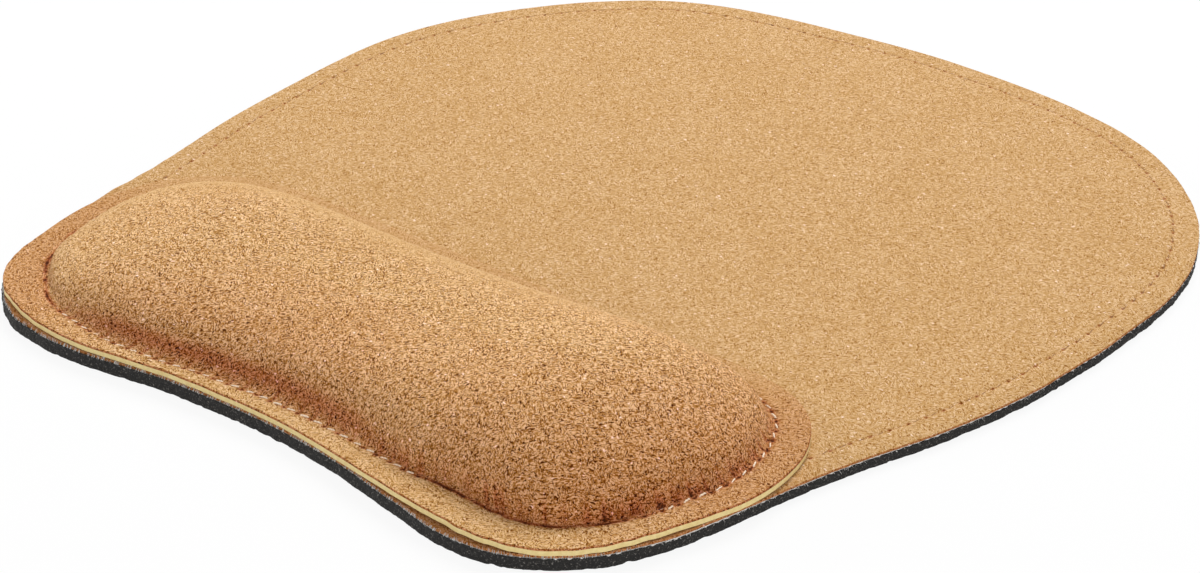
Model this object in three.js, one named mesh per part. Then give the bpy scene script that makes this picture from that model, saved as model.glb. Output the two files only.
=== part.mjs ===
// A mouse pad with a sewn wrist rest, in millimetres, +Z up.
// +X runs to the user's right and +Y away from the user, so the wrist rest lies at -Y.
// The origin is on the surface that the pad lies on, under the middle of the pad's outline.
import * as THREE from "three";

// Overall plan of the pad.
const padWidth = 230;
const padLength = 246;

// Layers of the pad, from the underside up.
const foamThickness = 2.5;
const backingThickness = 0.3;
const corkUnderSeam = 0.2;

// Plan of the wrist rest, measured at its sewn seam.
const restSeamWidth = 180.2;
const restSeamDepth = 70;
const restSetback = 0.4;
const flangeWidth = 7;
const flangeNarrowing = 2.5;
const flangeNarrowReach = 32;

// Layers of the wrist rest, from the pad up.
const adhesiveThickness = 0.3;
const adhesiveToThread = 2.2;
const baseSheetThickness = 1;
const restBackingThickness = 0.2;
const restCorkThickness = 0.4;

// The dome of the rest: its height over the flange at the middle, how much more than that it rises to
// at its right end, and the ridge that its crown runs along. Two powers shape it: a higher fullness keeps
// the crown flatter, and a lower shoulder makes the sides steeper.
const crownHeight = 11.2;
const crownLean = 3.6;
const ridgeLength = 110;
const fullnessPower = 3.2;
const shoulderPower = 0.6;
const domeToThread = 0.7;
const layerGap = 0.1;
const cushionGap = 0.3;

// Lockstitch threads. The needle thread lies on top, the bobbin thread underneath.
const padSeamInset = 5.8;
const padStitchPitch = 4.6;
const restStitchPitch = 3.9;
const threadWidth = 0.8;
const threadHeight = 0.24;
const holePinchShare = 0.3;
const threadSink = 0.06;
const grooveSideGap = 0.45;
const bobbinHeight = 0.3;
const bobbinRecess = 0.3;

// How finely the outlines and the dome are divided.
const padSegments = 120;
const restSegments = 72;
const coverRings = 6;
const cushionRings = 5;
const smallestRingShare = 0.16;
const curveSamples = 720;

// Heights of the layers, added up from the underside.
const padCorkThickness = corkUnderSeam + threadHeight + threadSink;
const backingBottom = foamThickness;
const corkBottom = backingBottom + backingThickness;
const padTop = corkBottom + padCorkThickness;
const baseBottom = padTop + adhesiveThickness;
const baseTop = baseBottom + baseSheetThickness;
const restCorkBottom = baseTop + restBackingThickness;
const flangeTop = restCorkBottom + restCorkThickness;

// How far inside the seam each layer of the dome starts, from the cork in to the cushion,
// and how high each one rises.
const corkFoot = threadWidth / 2 + domeToThread;
const backingFoot = corkFoot + restCorkThickness + layerGap;
const cushionFoot = backingFoot + restBackingThickness + cushionGap;
const backingRise = crownHeight - layerGap;
const cushionRise = backingRise - cushionGap;

// Right half of the pad's outline, from the middle of the front edge round to the middle of the back edge,
// as shares of half the pad's width and half its length.
const padOutlineShares = [
  [0, -0.946],
  [0.16, -0.953],
  [0.367, -0.983],
  [0.522, -0.999],
  [0.624, -0.979],
  [0.742, -0.889],
  [0.789, -0.802],
  [0.818, -0.71],
  [0.861, -0.518],
  [0.916, -0.33],
  [0.962, -0.141],
  [0.987, 0.054],
  [1, 0.248],
  [0.977, 0.441],
  [0.898, 0.622],
  [0.777, 0.779],
  [0.613, 0.899],
  [0.416, 0.961],
  [0.208, 0.987],
  [0, 1],
];

// Right half of the rest's seam, in the same order, as shares of half its width and half its depth.
const restSeamShares = [
  [0, -0.906],
  [0.222, -0.925],
  [0.411, -0.968],
  [0.555, -1],
  [0.677, -0.975],
  [0.782, -0.865],
  [0.866, -0.705],
  [0.932, -0.494],
  [0.974, -0.223],
  [1, 0.12],
  [0.994, 0.391],
  [0.966, 0.62],
  [0.91, 0.81],
  [0.835, 0.925],
  [0.733, 0.975],
  [0.555, 0.995],
  [0.333, 1],
  [0, 1],
];

// A closed smooth curve through a half outline and its mirror image, counterclockwise seen from above.
function mirroredCurve(halfShares) {
  const right = halfShares.map(([x, y]) => new THREE.Vector3(x, y, 0));
  const left = right
    .slice(1, -1)
    .reverse()
    .map((point) => new THREE.Vector3(-point.x, point.y, 0));
  return new THREE.CatmullRomCurve3([...right, ...left], true, "centripetal");
}

// The outline at its real size: the curve's own extents are brought to exactly width by depth,
// centred on the origin, and then divided into equal steps.
function outlineLoop(halfShares, width, depth, segments) {
  const curve = mirroredCurve(halfShares);
  const extents = new THREE.Box3().setFromPoints(curve.getSpacedPoints(curveSamples));
  const size = extents.getSize(new THREE.Vector3());
  const centre = extents.getCenter(new THREE.Vector3());
  const sized = curve.points.map((point) => {
    const x = ((point.x - centre.x) * width) / size.x;
    const y = ((point.y - centre.y) * depth) / size.y;
    return new THREE.Vector3(x, y, 0);
  });
  const sizedCurve = new THREE.CatmullRomCurve3(sized, true, "centripetal");
  sizedCurve.arcLengthDivisions = curveSamples;
  return sizedCurve.getSpacedPoints(segments).slice(0, segments);
}

function loopLength(loop) {
  return loop.reduce((sum, point, i) => sum + point.distanceTo(loop[(i + 1) % loop.length]), 0);
}

// Outward direction in plan at each point of a counterclockwise loop.
function outwardNormals(loop) {
  const count = loop.length;
  return loop.map((_, i) => {
    const ahead = loop[(i + 1) % count];
    const behind = loop[(i + count - 1) % count];
    const along = new THREE.Vector3().subVectors(ahead, behind).normalize();
    return new THREE.Vector3(along.y, -along.x, 0);
  });
}

// The loop moved outward by a distance, or inward by a negative one. The distance is a number,
// or a function of the point, its outward direction and its index.
function offsetLoop(loop, distanceAt) {
  const normals = outwardNormals(loop);
  return loop.map((point, i) => {
    const distance = typeof distanceAt === "function" ? distanceAt(point, normals[i], i) : distanceAt;
    return point.clone().addScaledVector(normals[i], distance);
  });
}

function atHeight(loop, z) {
  return loop.map((point) => new THREE.Vector3(point.x, point.y, z));
}

function shiftedLoop(loop, y) {
  return loop.map((point) => new THREE.Vector3(point.x, point.y + y, point.z));
}

function frontMiddle(loop) {
  return loop[0].y;
}

// Triangles between one loop and the next. Loops are counterclockwise seen from above.
function bandIndices(from, to, count) {
  const indices = [];
  for (let i = 0; i < count; i++) {
    const next = (i + 1) % count;
    indices.push(from + i, from + next, to + next);
    indices.push(from + i, to + next, to + i);
  }
  return indices;
}

function capIndices(loop, start, facesDown) {
  const contour = loop.map((point) => new THREE.Vector2(point.x, point.y));
  return THREE.ShapeUtils.triangulateShape(contour, []).flatMap(([a, b, c]) =>
    facesDown ? [start + a, start + c, start + b] : [start + a, start + b, start + c],
  );
}

function geometryOf(loops, indices) {
  const positions = loops.flat().flatMap((point) => [point.x, point.y, point.z]);
  const geometry = new THREE.BufferGeometry();
  geometry.setAttribute("position", new THREE.Float32BufferAttribute(positions, 3));
  geometry.setIndex(indices);
  geometry.computeVertexNormals();
  return geometry;
}

// A closed body through loops of equal count. Its first loop is capped facing down, its last facing up.
function cappedBody(loops) {
  const count = loops[0].length;
  const last = loops.length - 1;
  const indices = [];
  for (let k = 0; k < last; k++) indices.push(...bandIndices(k * count, (k + 1) * count, count));
  indices.push(...capIndices(loops[0], 0, true));
  indices.push(...capIndices(loops[last], last * count, false));
  return geometryOf(loops, indices);
}

// A closed ring whose section runs through the loops in turn and back to the first.
function ringBody(loops) {
  const count = loops[0].length;
  const indices = loops.flatMap((_, k) => bandIndices(k * count, ((k + 1) % loops.length) * count, count));
  return geometryOf(loops, indices);
}

function slab(loop, bottom, top) {
  return cappedBody([atHeight(loop, bottom), atHeight(loop, top)]);
}

function meshOf(name, geometry, color, roughness) {
  const material = new THREE.MeshStandardMaterial({ color, roughness, metalness: 0 });
  const mesh = new THREE.Mesh(geometry, material);
  mesh.name = name;
  return mesh;
}

// Plan of the pad: its edge, and its seam at a set distance inside.
const padEdge = outlineLoop(padOutlineShares, padWidth, padLength, padSegments);
const grooveHalfWidth = threadWidth / 2 + grooveSideGap;

function padSeamLoop(offset, z) {
  return atHeight(offsetLoop(padEdge, offset - padSeamInset), z);
}

// Plan of the rest: its seam, and the flange's edge outside it, narrower at the middle of the front.
function restLoopAtOrigin(segments) {
  return outlineLoop(restSeamShares, restSeamWidth, restSeamDepth, segments);
}

function flangeWidthAt(point, normal) {
  const frontShare = Math.max(0, -normal.y);
  const nearMiddleShare = Math.exp(-((point.x / flangeNarrowReach) ** 2));
  return flangeWidth - flangeNarrowing * frontShare * nearMiddleShare;
}

const frontFlangeWidth = flangeWidth - flangeNarrowing;
const restSeamAtOrigin = restLoopAtOrigin(restSegments);
const restShift = frontMiddle(padEdge) + restSetback + frontFlangeWidth - frontMiddle(restSeamAtOrigin);
const restSeam = shiftedLoop(restSeamAtOrigin, restShift);
const flangeEdge = offsetLoop(restSeam, flangeWidthAt);

// The foam base, with a groove round its underside that takes the bobbin thread.
function foamBase() {
  const ceiling = bobbinHeight + bobbinRecess;
  return cappedBody([
    padSeamLoop(-grooveHalfWidth, 0),
    padSeamLoop(-grooveHalfWidth, ceiling),
    padSeamLoop(grooveHalfWidth, ceiling),
    padSeamLoop(grooveHalfWidth, 0),
    padEdge,
    atHeight(padEdge, foamThickness),
  ]);
}

// The pad's cork sheet, with the furrow that the needle thread is pulled down into.
function padCork() {
  const floor = corkBottom + corkUnderSeam;
  return cappedBody([
    atHeight(padEdge, corkBottom),
    atHeight(padEdge, padTop),
    padSeamLoop(grooveHalfWidth, padTop),
    padSeamLoop(grooveHalfWidth, floor),
    padSeamLoop(-grooveHalfWidth, floor),
    padSeamLoop(-grooveHalfWidth, padTop),
  ]);
}

// A needle thread round a seam, flat where it lies and pinched narrow and low at each needle hole.
function needleThread(seam, bottom) {
  const pinched = (full) => (point, normal, i) => (i % 2 ? full : full * holePinchShare);
  const half = threadWidth / 2;
  const outer = offsetLoop(seam, pinched(half));
  const inner = offsetLoop(seam, pinched(-half));
  const lifted = (loop) =>
    loop.map((point, i) => {
      const height = i % 2 ? threadHeight : threadHeight * holePinchShare;
      return new THREE.Vector3(point.x, point.y, bottom + height);
    });
  return ringBody([atHeight(inner, bottom), atHeight(outer, bottom), lifted(outer), lifted(inner)]);
}

// A bobbin thread round a seam: an even strand that hangs from the sheet above it.
function bobbinThread(seam, top, height) {
  const outer = offsetLoop(seam, threadWidth / 2);
  const inner = offsetLoop(seam, -threadWidth / 2);
  const bottom = top - height;
  const underside = [atHeight(inner, bottom), atHeight(outer, bottom)];
  const upperSide = [atHeight(outer, top), atHeight(inner, top)];
  return ringBody([...underside, ...upperSide]);
}

// Two divisions for each stitch: a needle hole and the middle of the strand between two holes.
function stitchDivisions(length, pitch) {
  return 2 * Math.round(length / pitch);
}

function padStitchLoop() {
  const divisions = stitchDivisions(loopLength(padSeamLoop(0, 0)), padStitchPitch);
  const fineEdge = outlineLoop(padOutlineShares, padWidth, padLength, divisions);
  return offsetLoop(fineEdge, -padSeamInset);
}

function restStitchLoop() {
  const divisions = stitchDivisions(loopLength(restSeam), restStitchPitch);
  return shiftedLoop(restLoopAtOrigin(divisions), restShift);
}

// Shares of the dome's plan, from its foot in to the flat of its crown, closest together at the foot.
function ringShares(rings) {
  const shares = [];
  for (let k = 0; k <= rings; k++) {
    const turn = (k / rings) * Math.acos(smallestRingShare);
    shares.push(Math.cos(turn));
  }
  return shares;
}

// Rings of a dome whose foot is the seam moved inward. They close in on a ridge along the rest's length.
function domeRings(inset, footHeight, rise, rings) {
  const foot = offsetLoop(restSeam, -inset);
  const middle = restShift;
  const halfWidth = restSeamWidth / 2;
  return ringShares(rings).map((share) => {
    const riseShare = (1 - share ** fullnessPower) ** shoulderPower;
    return foot.map((point) => {
      const ridgeX = ((point.x / halfWidth) * ridgeLength) / 2;
      const x = ridgeX + (point.x - ridgeX) * share;
      const y = middle + (point.y - middle) * share;
      const fullRise = rise + (crownLean * x) / halfWidth;
      return new THREE.Vector3(x, y, footHeight + fullRise * riseShare);
    });
  });
}

// A sheet drawn over the cushion: a flat flange outside the seam and a hollow dome inside it.
function coverSheet(bottom, thickness, footInset, rise) {
  const top = bottom + thickness;
  const under = domeRings(footInset + thickness, bottom, rise, coverRings).reverse();
  const over = domeRings(footInset, top, rise, coverRings);
  return cappedBody([...under, atHeight(flangeEdge, bottom), atHeight(flangeEdge, top), ...over]);
}

// The soft insert: flat where it lies on the base sheet, crowned above.
function cushionCore() {
  return cappedBody(domeRings(cushionFoot, baseTop, cushionRise, cushionRings));
}

const colours = {
  foam: 0x2b2a29,
  backing: 0xb9b4ac,
  padCork: 0xd3a468,
  padThread: 0x5a3620,
  adhesive: 0x4a3424,
  baseSheet: 0xcbb87c,
  cushion: 0xd9d2c0,
  restCork: 0xc08f58,
  restThread: 0xdccfb4,
};

const pad = new THREE.Group();
pad.add(
  meshOf("foam_base", foamBase(), colours.foam, 0.95),
  meshOf("pad_cloth_backing", slab(padEdge, backingBottom, corkBottom), colours.backing, 0.95),
  meshOf("pad_cork_cover", padCork(), colours.padCork, 0.85),
  meshOf(
    "pad_needle_thread",
    needleThread(padStitchLoop(), corkBottom + corkUnderSeam),
    colours.padThread,
    0.8,
  ),
  meshOf(
    "pad_bobbin_thread",
    bobbinThread(padSeamLoop(0, 0), bobbinHeight + bobbinRecess, bobbinHeight),
    colours.padThread,
    0.8,
  ),
);

const rest = new THREE.Group();
const adhesiveEdge = offsetLoop(restSeam, -threadWidth / 2 - adhesiveToThread);
rest.add(
  meshOf("rest_adhesive_sheet", slab(adhesiveEdge, padTop, baseBottom), colours.adhesive, 0.7),
  meshOf("rest_base_sheet", slab(flangeEdge, baseBottom, baseTop), colours.baseSheet, 0.7),
  meshOf("rest_cushion_core", cushionCore(), colours.cushion, 0.9),
  meshOf(
    "rest_cloth_backing",
    coverSheet(baseTop, restBackingThickness, backingFoot, backingRise),
    colours.backing,
    0.95,
  ),
  meshOf(
    "rest_cork_cover",
    coverSheet(restCorkBottom, restCorkThickness, corkFoot, crownHeight),
    colours.restCork,
    0.85,
  ),
  meshOf("rest_needle_thread", needleThread(restStitchLoop(), flangeTop), colours.restThread, 0.75),
  meshOf(
    "rest_bobbin_thread",
    bobbinThread(restSeam, baseBottom, adhesiveThickness - layerGap),
    colours.restThread,
    0.75,
  ),
);

const mousePad = new THREE.Group();
mousePad.add(pad, rest);

export default mousePad;
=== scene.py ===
"""Looks of a cork mouse pad with a sewn wrist rest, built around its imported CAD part.

Plan sizes are in millimetres until a mesh is made, and every mesh is in metres in the frame of
the part: +X to the user's right, +Y away from the user, +Z up, origin on the desk under the
middle of the pad. Where a size or a shade changes round an edge or a seam, a table gives it at
shares of the line's length, counted counterclockwise from above, from the front middle.
"""

import logging
from collections.abc import Callable, Sequence
from dataclasses import dataclass, field
from enum import Enum, IntEnum
from functools import cache
from typing import ClassVar

import bpy
import numpy as np
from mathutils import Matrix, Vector


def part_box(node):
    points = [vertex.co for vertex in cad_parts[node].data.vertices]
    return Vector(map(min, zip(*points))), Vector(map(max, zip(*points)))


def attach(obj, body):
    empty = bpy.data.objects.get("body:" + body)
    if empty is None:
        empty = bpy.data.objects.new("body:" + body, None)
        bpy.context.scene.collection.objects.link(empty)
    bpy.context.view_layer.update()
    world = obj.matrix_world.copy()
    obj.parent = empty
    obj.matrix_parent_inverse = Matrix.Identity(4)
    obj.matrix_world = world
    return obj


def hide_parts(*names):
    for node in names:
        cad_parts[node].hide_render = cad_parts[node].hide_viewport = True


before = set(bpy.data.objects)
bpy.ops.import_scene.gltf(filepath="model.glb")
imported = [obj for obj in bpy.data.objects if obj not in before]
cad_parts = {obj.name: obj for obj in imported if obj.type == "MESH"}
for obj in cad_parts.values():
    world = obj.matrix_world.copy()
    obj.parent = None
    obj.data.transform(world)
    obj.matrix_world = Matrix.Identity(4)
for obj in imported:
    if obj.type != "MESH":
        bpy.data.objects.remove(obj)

LOG = logging.getLogger("mouse_pad")
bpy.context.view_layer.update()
MM = 0.001
TURN = 2 * np.pi
UP = np.array([0.0, 0.0, 1.0])
WHITE = (1.0, 1.0, 1.0)
LINE_STEPS = 7200
EVEN_SHARES = np.arange(LINE_STEPS) / LINE_STEPS
KNOT_STEPS = 60
NORMAL_REACH_MM = 1.5
PLY_DEPTH = 0.16
CRISP_DEGREES = 50
NEVER_CRISP = 180
SWELL_FRAMES = 20

Points = np.ndarray
Socket = bpy.types.NodeSocket
Value = float | Sequence[float] | Socket
Values = dict[str, np.ndarray | float]
Table = Sequence[tuple[float, float]]
Ripple = tuple[int, float]  # Knots round a line, and the spread of their values.
Colour = tuple[float, float, float]


class Draw(IntEnum):
    """Seeds of the random draws, so that every run gives the same object."""

    NICKS = 5
    YARNS = 8
    PAD_STITCHES = 11
    FOAM_WAVES = 21
    REST_STITCHES = 23
    FOAM_ROUGH = 30
    HOLES = 31
    BASE_EDGE = 41
    FOAM_FINE = 60
    FOLDS = 77
    WRINKLES = 79
    BROKEN_LINE = 83
    TORN_FOOT = 90
    CLOTH_EDGE = 120
    CORK_EDGE = 150


# Plan lines


def read_table(table: Table, at: np.ndarray) -> np.ndarray:
    """Smooth value of a table round a closed line.

    Args:
        table: Pairs of a share of the line's length, rising from 0 to below 1, and the value there.
        at: Shares of the line's length to read at.

    Returns:
        The value at each share.
    """
    knots = np.array(table, float)
    x = np.concatenate([knots[-2:, 0] - 1, knots[:, 0], knots[:2, 0] + 1])
    y = np.concatenate([knots[-2:, 1], knots[:, 1], knots[:2, 1]])
    place = np.mod(at, 1.0)
    i = np.clip(np.searchsorted(x, place, side="right") - 1, 0, len(x) - 2)
    t = (place - x[i]) / (x[i + 1] - x[i])
    return y[i] + (y[i + 1] - y[i]) * t * t * (3 - 2 * t)


def wander(at: np.ndarray, knots: int, spread: float, seed: int) -> np.ndarray:
    """Smooth random wandering round a closed line.

    Args:
        at: Shares of the line's length.
        knots: How many independent values there are round the line.
        spread: Standard deviation of the values.
        seed: Seed of the random values.

    Returns:
        One value for each share.
    """
    values = np.random.default_rng(seed).normal(0, spread, knots)
    return read_table(list(zip(np.arange(knots) / knots, values)), at)


@dataclass(frozen=True)
class PlanLine:
    """A closed smooth line in plan, counterclockwise from above, known at many even steps."""

    points: Points

    @classmethod
    def from_shares(cls, half: Table, low: Vector, high: Vector) -> "PlanLine":
        """The line through a right half outline and its mirror image, fitted to a box.

        Args:
            half: Shares of half the box's width and depth, from the front middle to the back.
            low: Lowest corner of the box.
            high: Highest corner of the box.

        Returns:
            The line.
        """
        right = np.array(half, float)
        dense = cls.through(np.concatenate([right, right[1:-1][::-1] * [-1, 1]]))
        least, most = dense.min(0), dense.max(0)
        size = np.array([high.x - low.x, high.y - low.y])
        middle = np.array([high.x + low.x, high.y + low.y]) / 2
        return cls((dense - (least + most) / 2) * size / (most - least) + middle).even()

    @staticmethod
    def through(knots: Points) -> Points:
        """Dense points of the closed centripetal Catmull-Rom curve through some knots.

        Args:
            knots: The points that the curve passes through.

        Returns:
            The points, with the same number in each stretch between two knots.
        """
        before, start, end, after = (np.roll(knots, k, 0) for k in (1, 0, -1, -2))
        a, b, c = (
            np.sqrt(np.linalg.norm(q - p, axis=1))[:, None]
            for p, q in ((before, start), (start, end), (end, after))
        )
        first = ((start - before) / a - (end - before) / (a + b) + (end - start) / b) * b
        last = ((end - start) / b - (after - start) / (b + c) + (after - end) / c) * b
        t = (np.arange(KNOT_STEPS) / KNOT_STEPS)[None, :, None]
        square = (-3 * start + 3 * end - 2 * first - last)[:, None]
        cube = (2 * start - 2 * end + first + last)[:, None]
        dense = start[:, None] + first[:, None] * t + square * t**2 + cube * t**3
        return dense.reshape(-1, 2)

    def lengths(self) -> np.ndarray:
        """Length along the line at each point, and the whole length last."""
        steps = np.linalg.norm(np.roll(self.points, -1, 0) - self.points, axis=1)
        return np.concatenate([[0.0], np.cumsum(steps)])

    def length(self) -> float:
        """Whole length of the line in millimetres."""
        return float(self.lengths()[-1])

    def even(self) -> "PlanLine":
        """The same line with even steps."""
        return PlanLine(self.at(EVEN_SHARES))

    def at(self, shares: np.ndarray) -> Points:
        """Points at shares of the line's length.

        Args:
            shares: The shares.

        Returns:
            A point for each share.
        """
        run, closed = self.lengths(), np.concatenate([self.points, self.points[:1]])
        place = np.mod(shares, 1.0) * run[-1]
        return np.stack([np.interp(place, run, closed[:, k]) for k in (0, 1)], axis=1)

    def outward(self, shares: np.ndarray) -> Points:
        """Unit vectors pointing out of the line.

        Args:
            shares: Shares of the line's length.

        Returns:
            A vector for each share.
        """
        step = NORMAL_REACH_MM / self.length()
        ahead = self.at(shares + step) - self.at(shares - step)
        ahead /= np.linalg.norm(ahead, axis=1)[:, None]
        return np.stack([ahead[:, 1], -ahead[:, 0]], axis=1)

    def moved(self, shares: np.ndarray, distance: np.ndarray | float) -> Points:
        """Points at shares of the line's length, moved outward by a distance."""
        away = np.broadcast_to(distance, shares.shape)[:, None]
        return self.at(shares) + self.outward(shares) * away

    def strayed(self, table: Table) -> "PlanLine":
        """The line moved outward by a table of distances round it."""
        return PlanLine(self.moved(EVEN_SHARES, read_table(table, EVEN_SHARES)))


def with_height(plan: Points, height: np.ndarray | float) -> Points:
    """Plan points with a height each."""
    return np.column_stack([plan, np.broadcast_to(height, len(plan))])


def bump(distance: np.ndarray | float, reach: np.ndarray | float) -> np.ndarray:
    """A smooth hump of height 1 that fades over a reach."""
    return np.exp(-((np.array(distance) / reach) ** 2))


# Meshes


@dataclass
class Piece:
    """A mesh piece of the object, put together ring by ring or strand by strand."""

    name: str
    points: list[Points] = field(default_factory=list)
    faces: list[Sequence[int]] = field(default_factory=list)
    values: dict[str, list[np.ndarray]] = field(default_factory=dict)
    count: int = 0

    def add_points(self, points: Points, **values: np.ndarray | float) -> int:
        """Adds points and their named values, which have the same names in every call.

        Args:
            points: The points in millimetres.
            values: A value for each point, by name.

        Returns:
            The index of the first point.
        """
        start = self.count
        self.points.append(points)
        for name, value in values.items():
            even = np.broadcast_to(value, len(points)).astype(float)
            self.values.setdefault(name, []).append(even)
        self.count += len(points)
        return start

    def add_bands(self, starts: Sequence[int], count: int) -> None:
        """Joins rings of equal count with quads.

        Args:
            starts: Index of each ring's first point, in order.
            count: How many points each ring has.
        """
        i = np.arange(count)
        after = (i + 1) % count
        for a, b in zip(starts[:-1], starts[1:]):
            self.faces.extend(np.stack([a + i, a + after, b + after, b + i], axis=1).tolist())

    def add_cap(self, start: int, count: int, facing_down: bool) -> None:
        """Closes a ring with one flat face."""
        ring = list(range(start, start + count))
        self.faces.append(ring[::-1] if facing_down else ring)

    def add_strip(self, start: int, count: int, facing_down: bool) -> None:
        """Closes a long thin ring with triangles from its left end to its right end.

        Args:
            start: Index of the ring's first point.
            count: How many points the ring has.
            facing_down: Whether the triangles face down.
        """
        x = np.concatenate(self.points)[start:start + count, 0]
        left, right = int(np.argmin(x)), int(np.argmax(x))
        front = [(left + k) % count for k in range((right - left) % count + 1)]
        back = [(left - k) % count for k in range((left - right) % count + 1)]
        i = j = 0
        while i < len(front) - 1 or j < len(back) - 1:
            front_next = i < len(front) - 1 and (
                j == len(back) - 1 or x[front[i + 1]] <= x[back[j + 1]]
            )
            corner = front[i + 1] if front_next else back[j + 1]
            face = [start + front[i], start + corner, start + back[j]]
            if len(set(face)) == 3:
                self.faces.append(face[::-1] if facing_down else face)
            i, j = (i + 1, j) if front_next else (i, j + 1)

    def add_rings(self, rings: Sequence[Points], values: Sequence[Values] | None = None,
                  flat_ends: tuple[bool, bool] = (True, True)) -> None:
        """Adds a closed body through rings of equal count.

        Args:
            rings: The rings, from the underside round the outside to the top.
            values: The named values of each ring.
            flat_ends: Whether the first and the last ring are closed flat and not with a strip.
        """
        count, values = len(rings[0]), values or [{}] * len(rings)
        starts = [self.add_points(ring, **given) for ring, given in zip(rings, values)]
        self.add_bands(starts, count)
        ends = (starts[0], flat_ends[0], True), (starts[-1], flat_ends[1], False)
        for start, flat, down in ends:
            (self.add_cap if flat else self.add_strip)(start, count, down)

    def add_strands(self, centres: Points, across: Points, half_width: np.ndarray,
                    half_height: np.ndarray, sides: int, twist: np.ndarray | None = None,
                    along: np.ndarray | float = 0.0) -> None:
        """Adds many closed strands at once.

        Args:
            centres: Centre points, as strand by step by 3.
            across: Level unit vectors across each step, or across each whole strand.
            half_width: Half the width at each strand and step.
            half_height: Half the height at each strand and step.
            sides: How many sides the section has.
            twist: Turn of the two plies in radians, or None for a plain strand.
            along: Length along each strand at each step, kept as a named value.
        """
        strands, steps = centres.shape[:2]
        angle = (np.arange(sides) * TURN / sides)[None, None, :]
        swell = 1.0 if twist is None else 1 + PLY_DEPTH * np.cos(2 * (angle - twist[..., None]))
        out = (np.cos(angle) * half_width[..., None] * swell)[..., None] * across[:, :, None, :]
        out = out + (np.sin(angle) * half_height[..., None] * swell)[..., None] * UP
        start = self.add_points(
            (centres[:, :, None, :] + out).reshape(-1, 3),
            run=np.repeat(np.broadcast_to(along, (strands, steps)).reshape(-1), sides),
            turn=np.tile(np.arange(sides) / sides, strands * steps),
        )
        grid = np.arange(strands), np.arange(steps - 1), np.arange(sides)
        k, j, i = np.meshgrid(*grid, indexing="ij")
        base = start + (k * steps + j) * sides
        after = (i + 1) % sides
        quads = np.stack([base + i, base + sides + i, base + sides + after, base + after], axis=-1)
        self.faces.extend(quads.reshape(-1, 4).tolist())
        for n in range(strands):
            first = start + n * steps * sides
            self.add_cap(first, sides, False)
            self.add_cap(first + (steps - 1) * sides, sides, True)

    def build(self, material: bpy.types.Material, slot: str, replaced: Sequence[str] = (),
              sharp_degrees: float = CRISP_DEGREES) -> bpy.types.Object:
        """Makes the mesh object, dresses it and seats it in the frame.

        Args:
            material: The finish of the piece.
            slot: The record's material slot; not used.
            replaced: CAD nodes that the piece stands for.
            sharp_degrees: Edges sharper than this stay crisp.

        Returns:
            The object.
        """
        mesh = bpy.data.meshes.new(self.name)
        mesh.from_pydata((np.concatenate(self.points) * MM).tolist(), [], self.faces)
        for name, parts in self.values.items():
            values = np.concatenate(parts)
            mesh.attributes.new(name, "FLOAT", "POINT").data.foreach_set("value", values)
        mesh.validate()
        mesh.shade_smooth()
        mesh.set_sharp_from_angle(angle=np.radians(sharp_degrees))
        mesh.materials.append(material)
        piece = bpy.data.objects.new(self.name, mesh)
        bpy.context.scene.collection.objects.link(piece)
        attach(piece, "root")
        if replaced:
            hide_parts(*replaced)
        LOG.info("%s: %d points, %d faces", self.name, len(mesh.vertices), len(mesh.polygons))
        return piece


# Node trees


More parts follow.
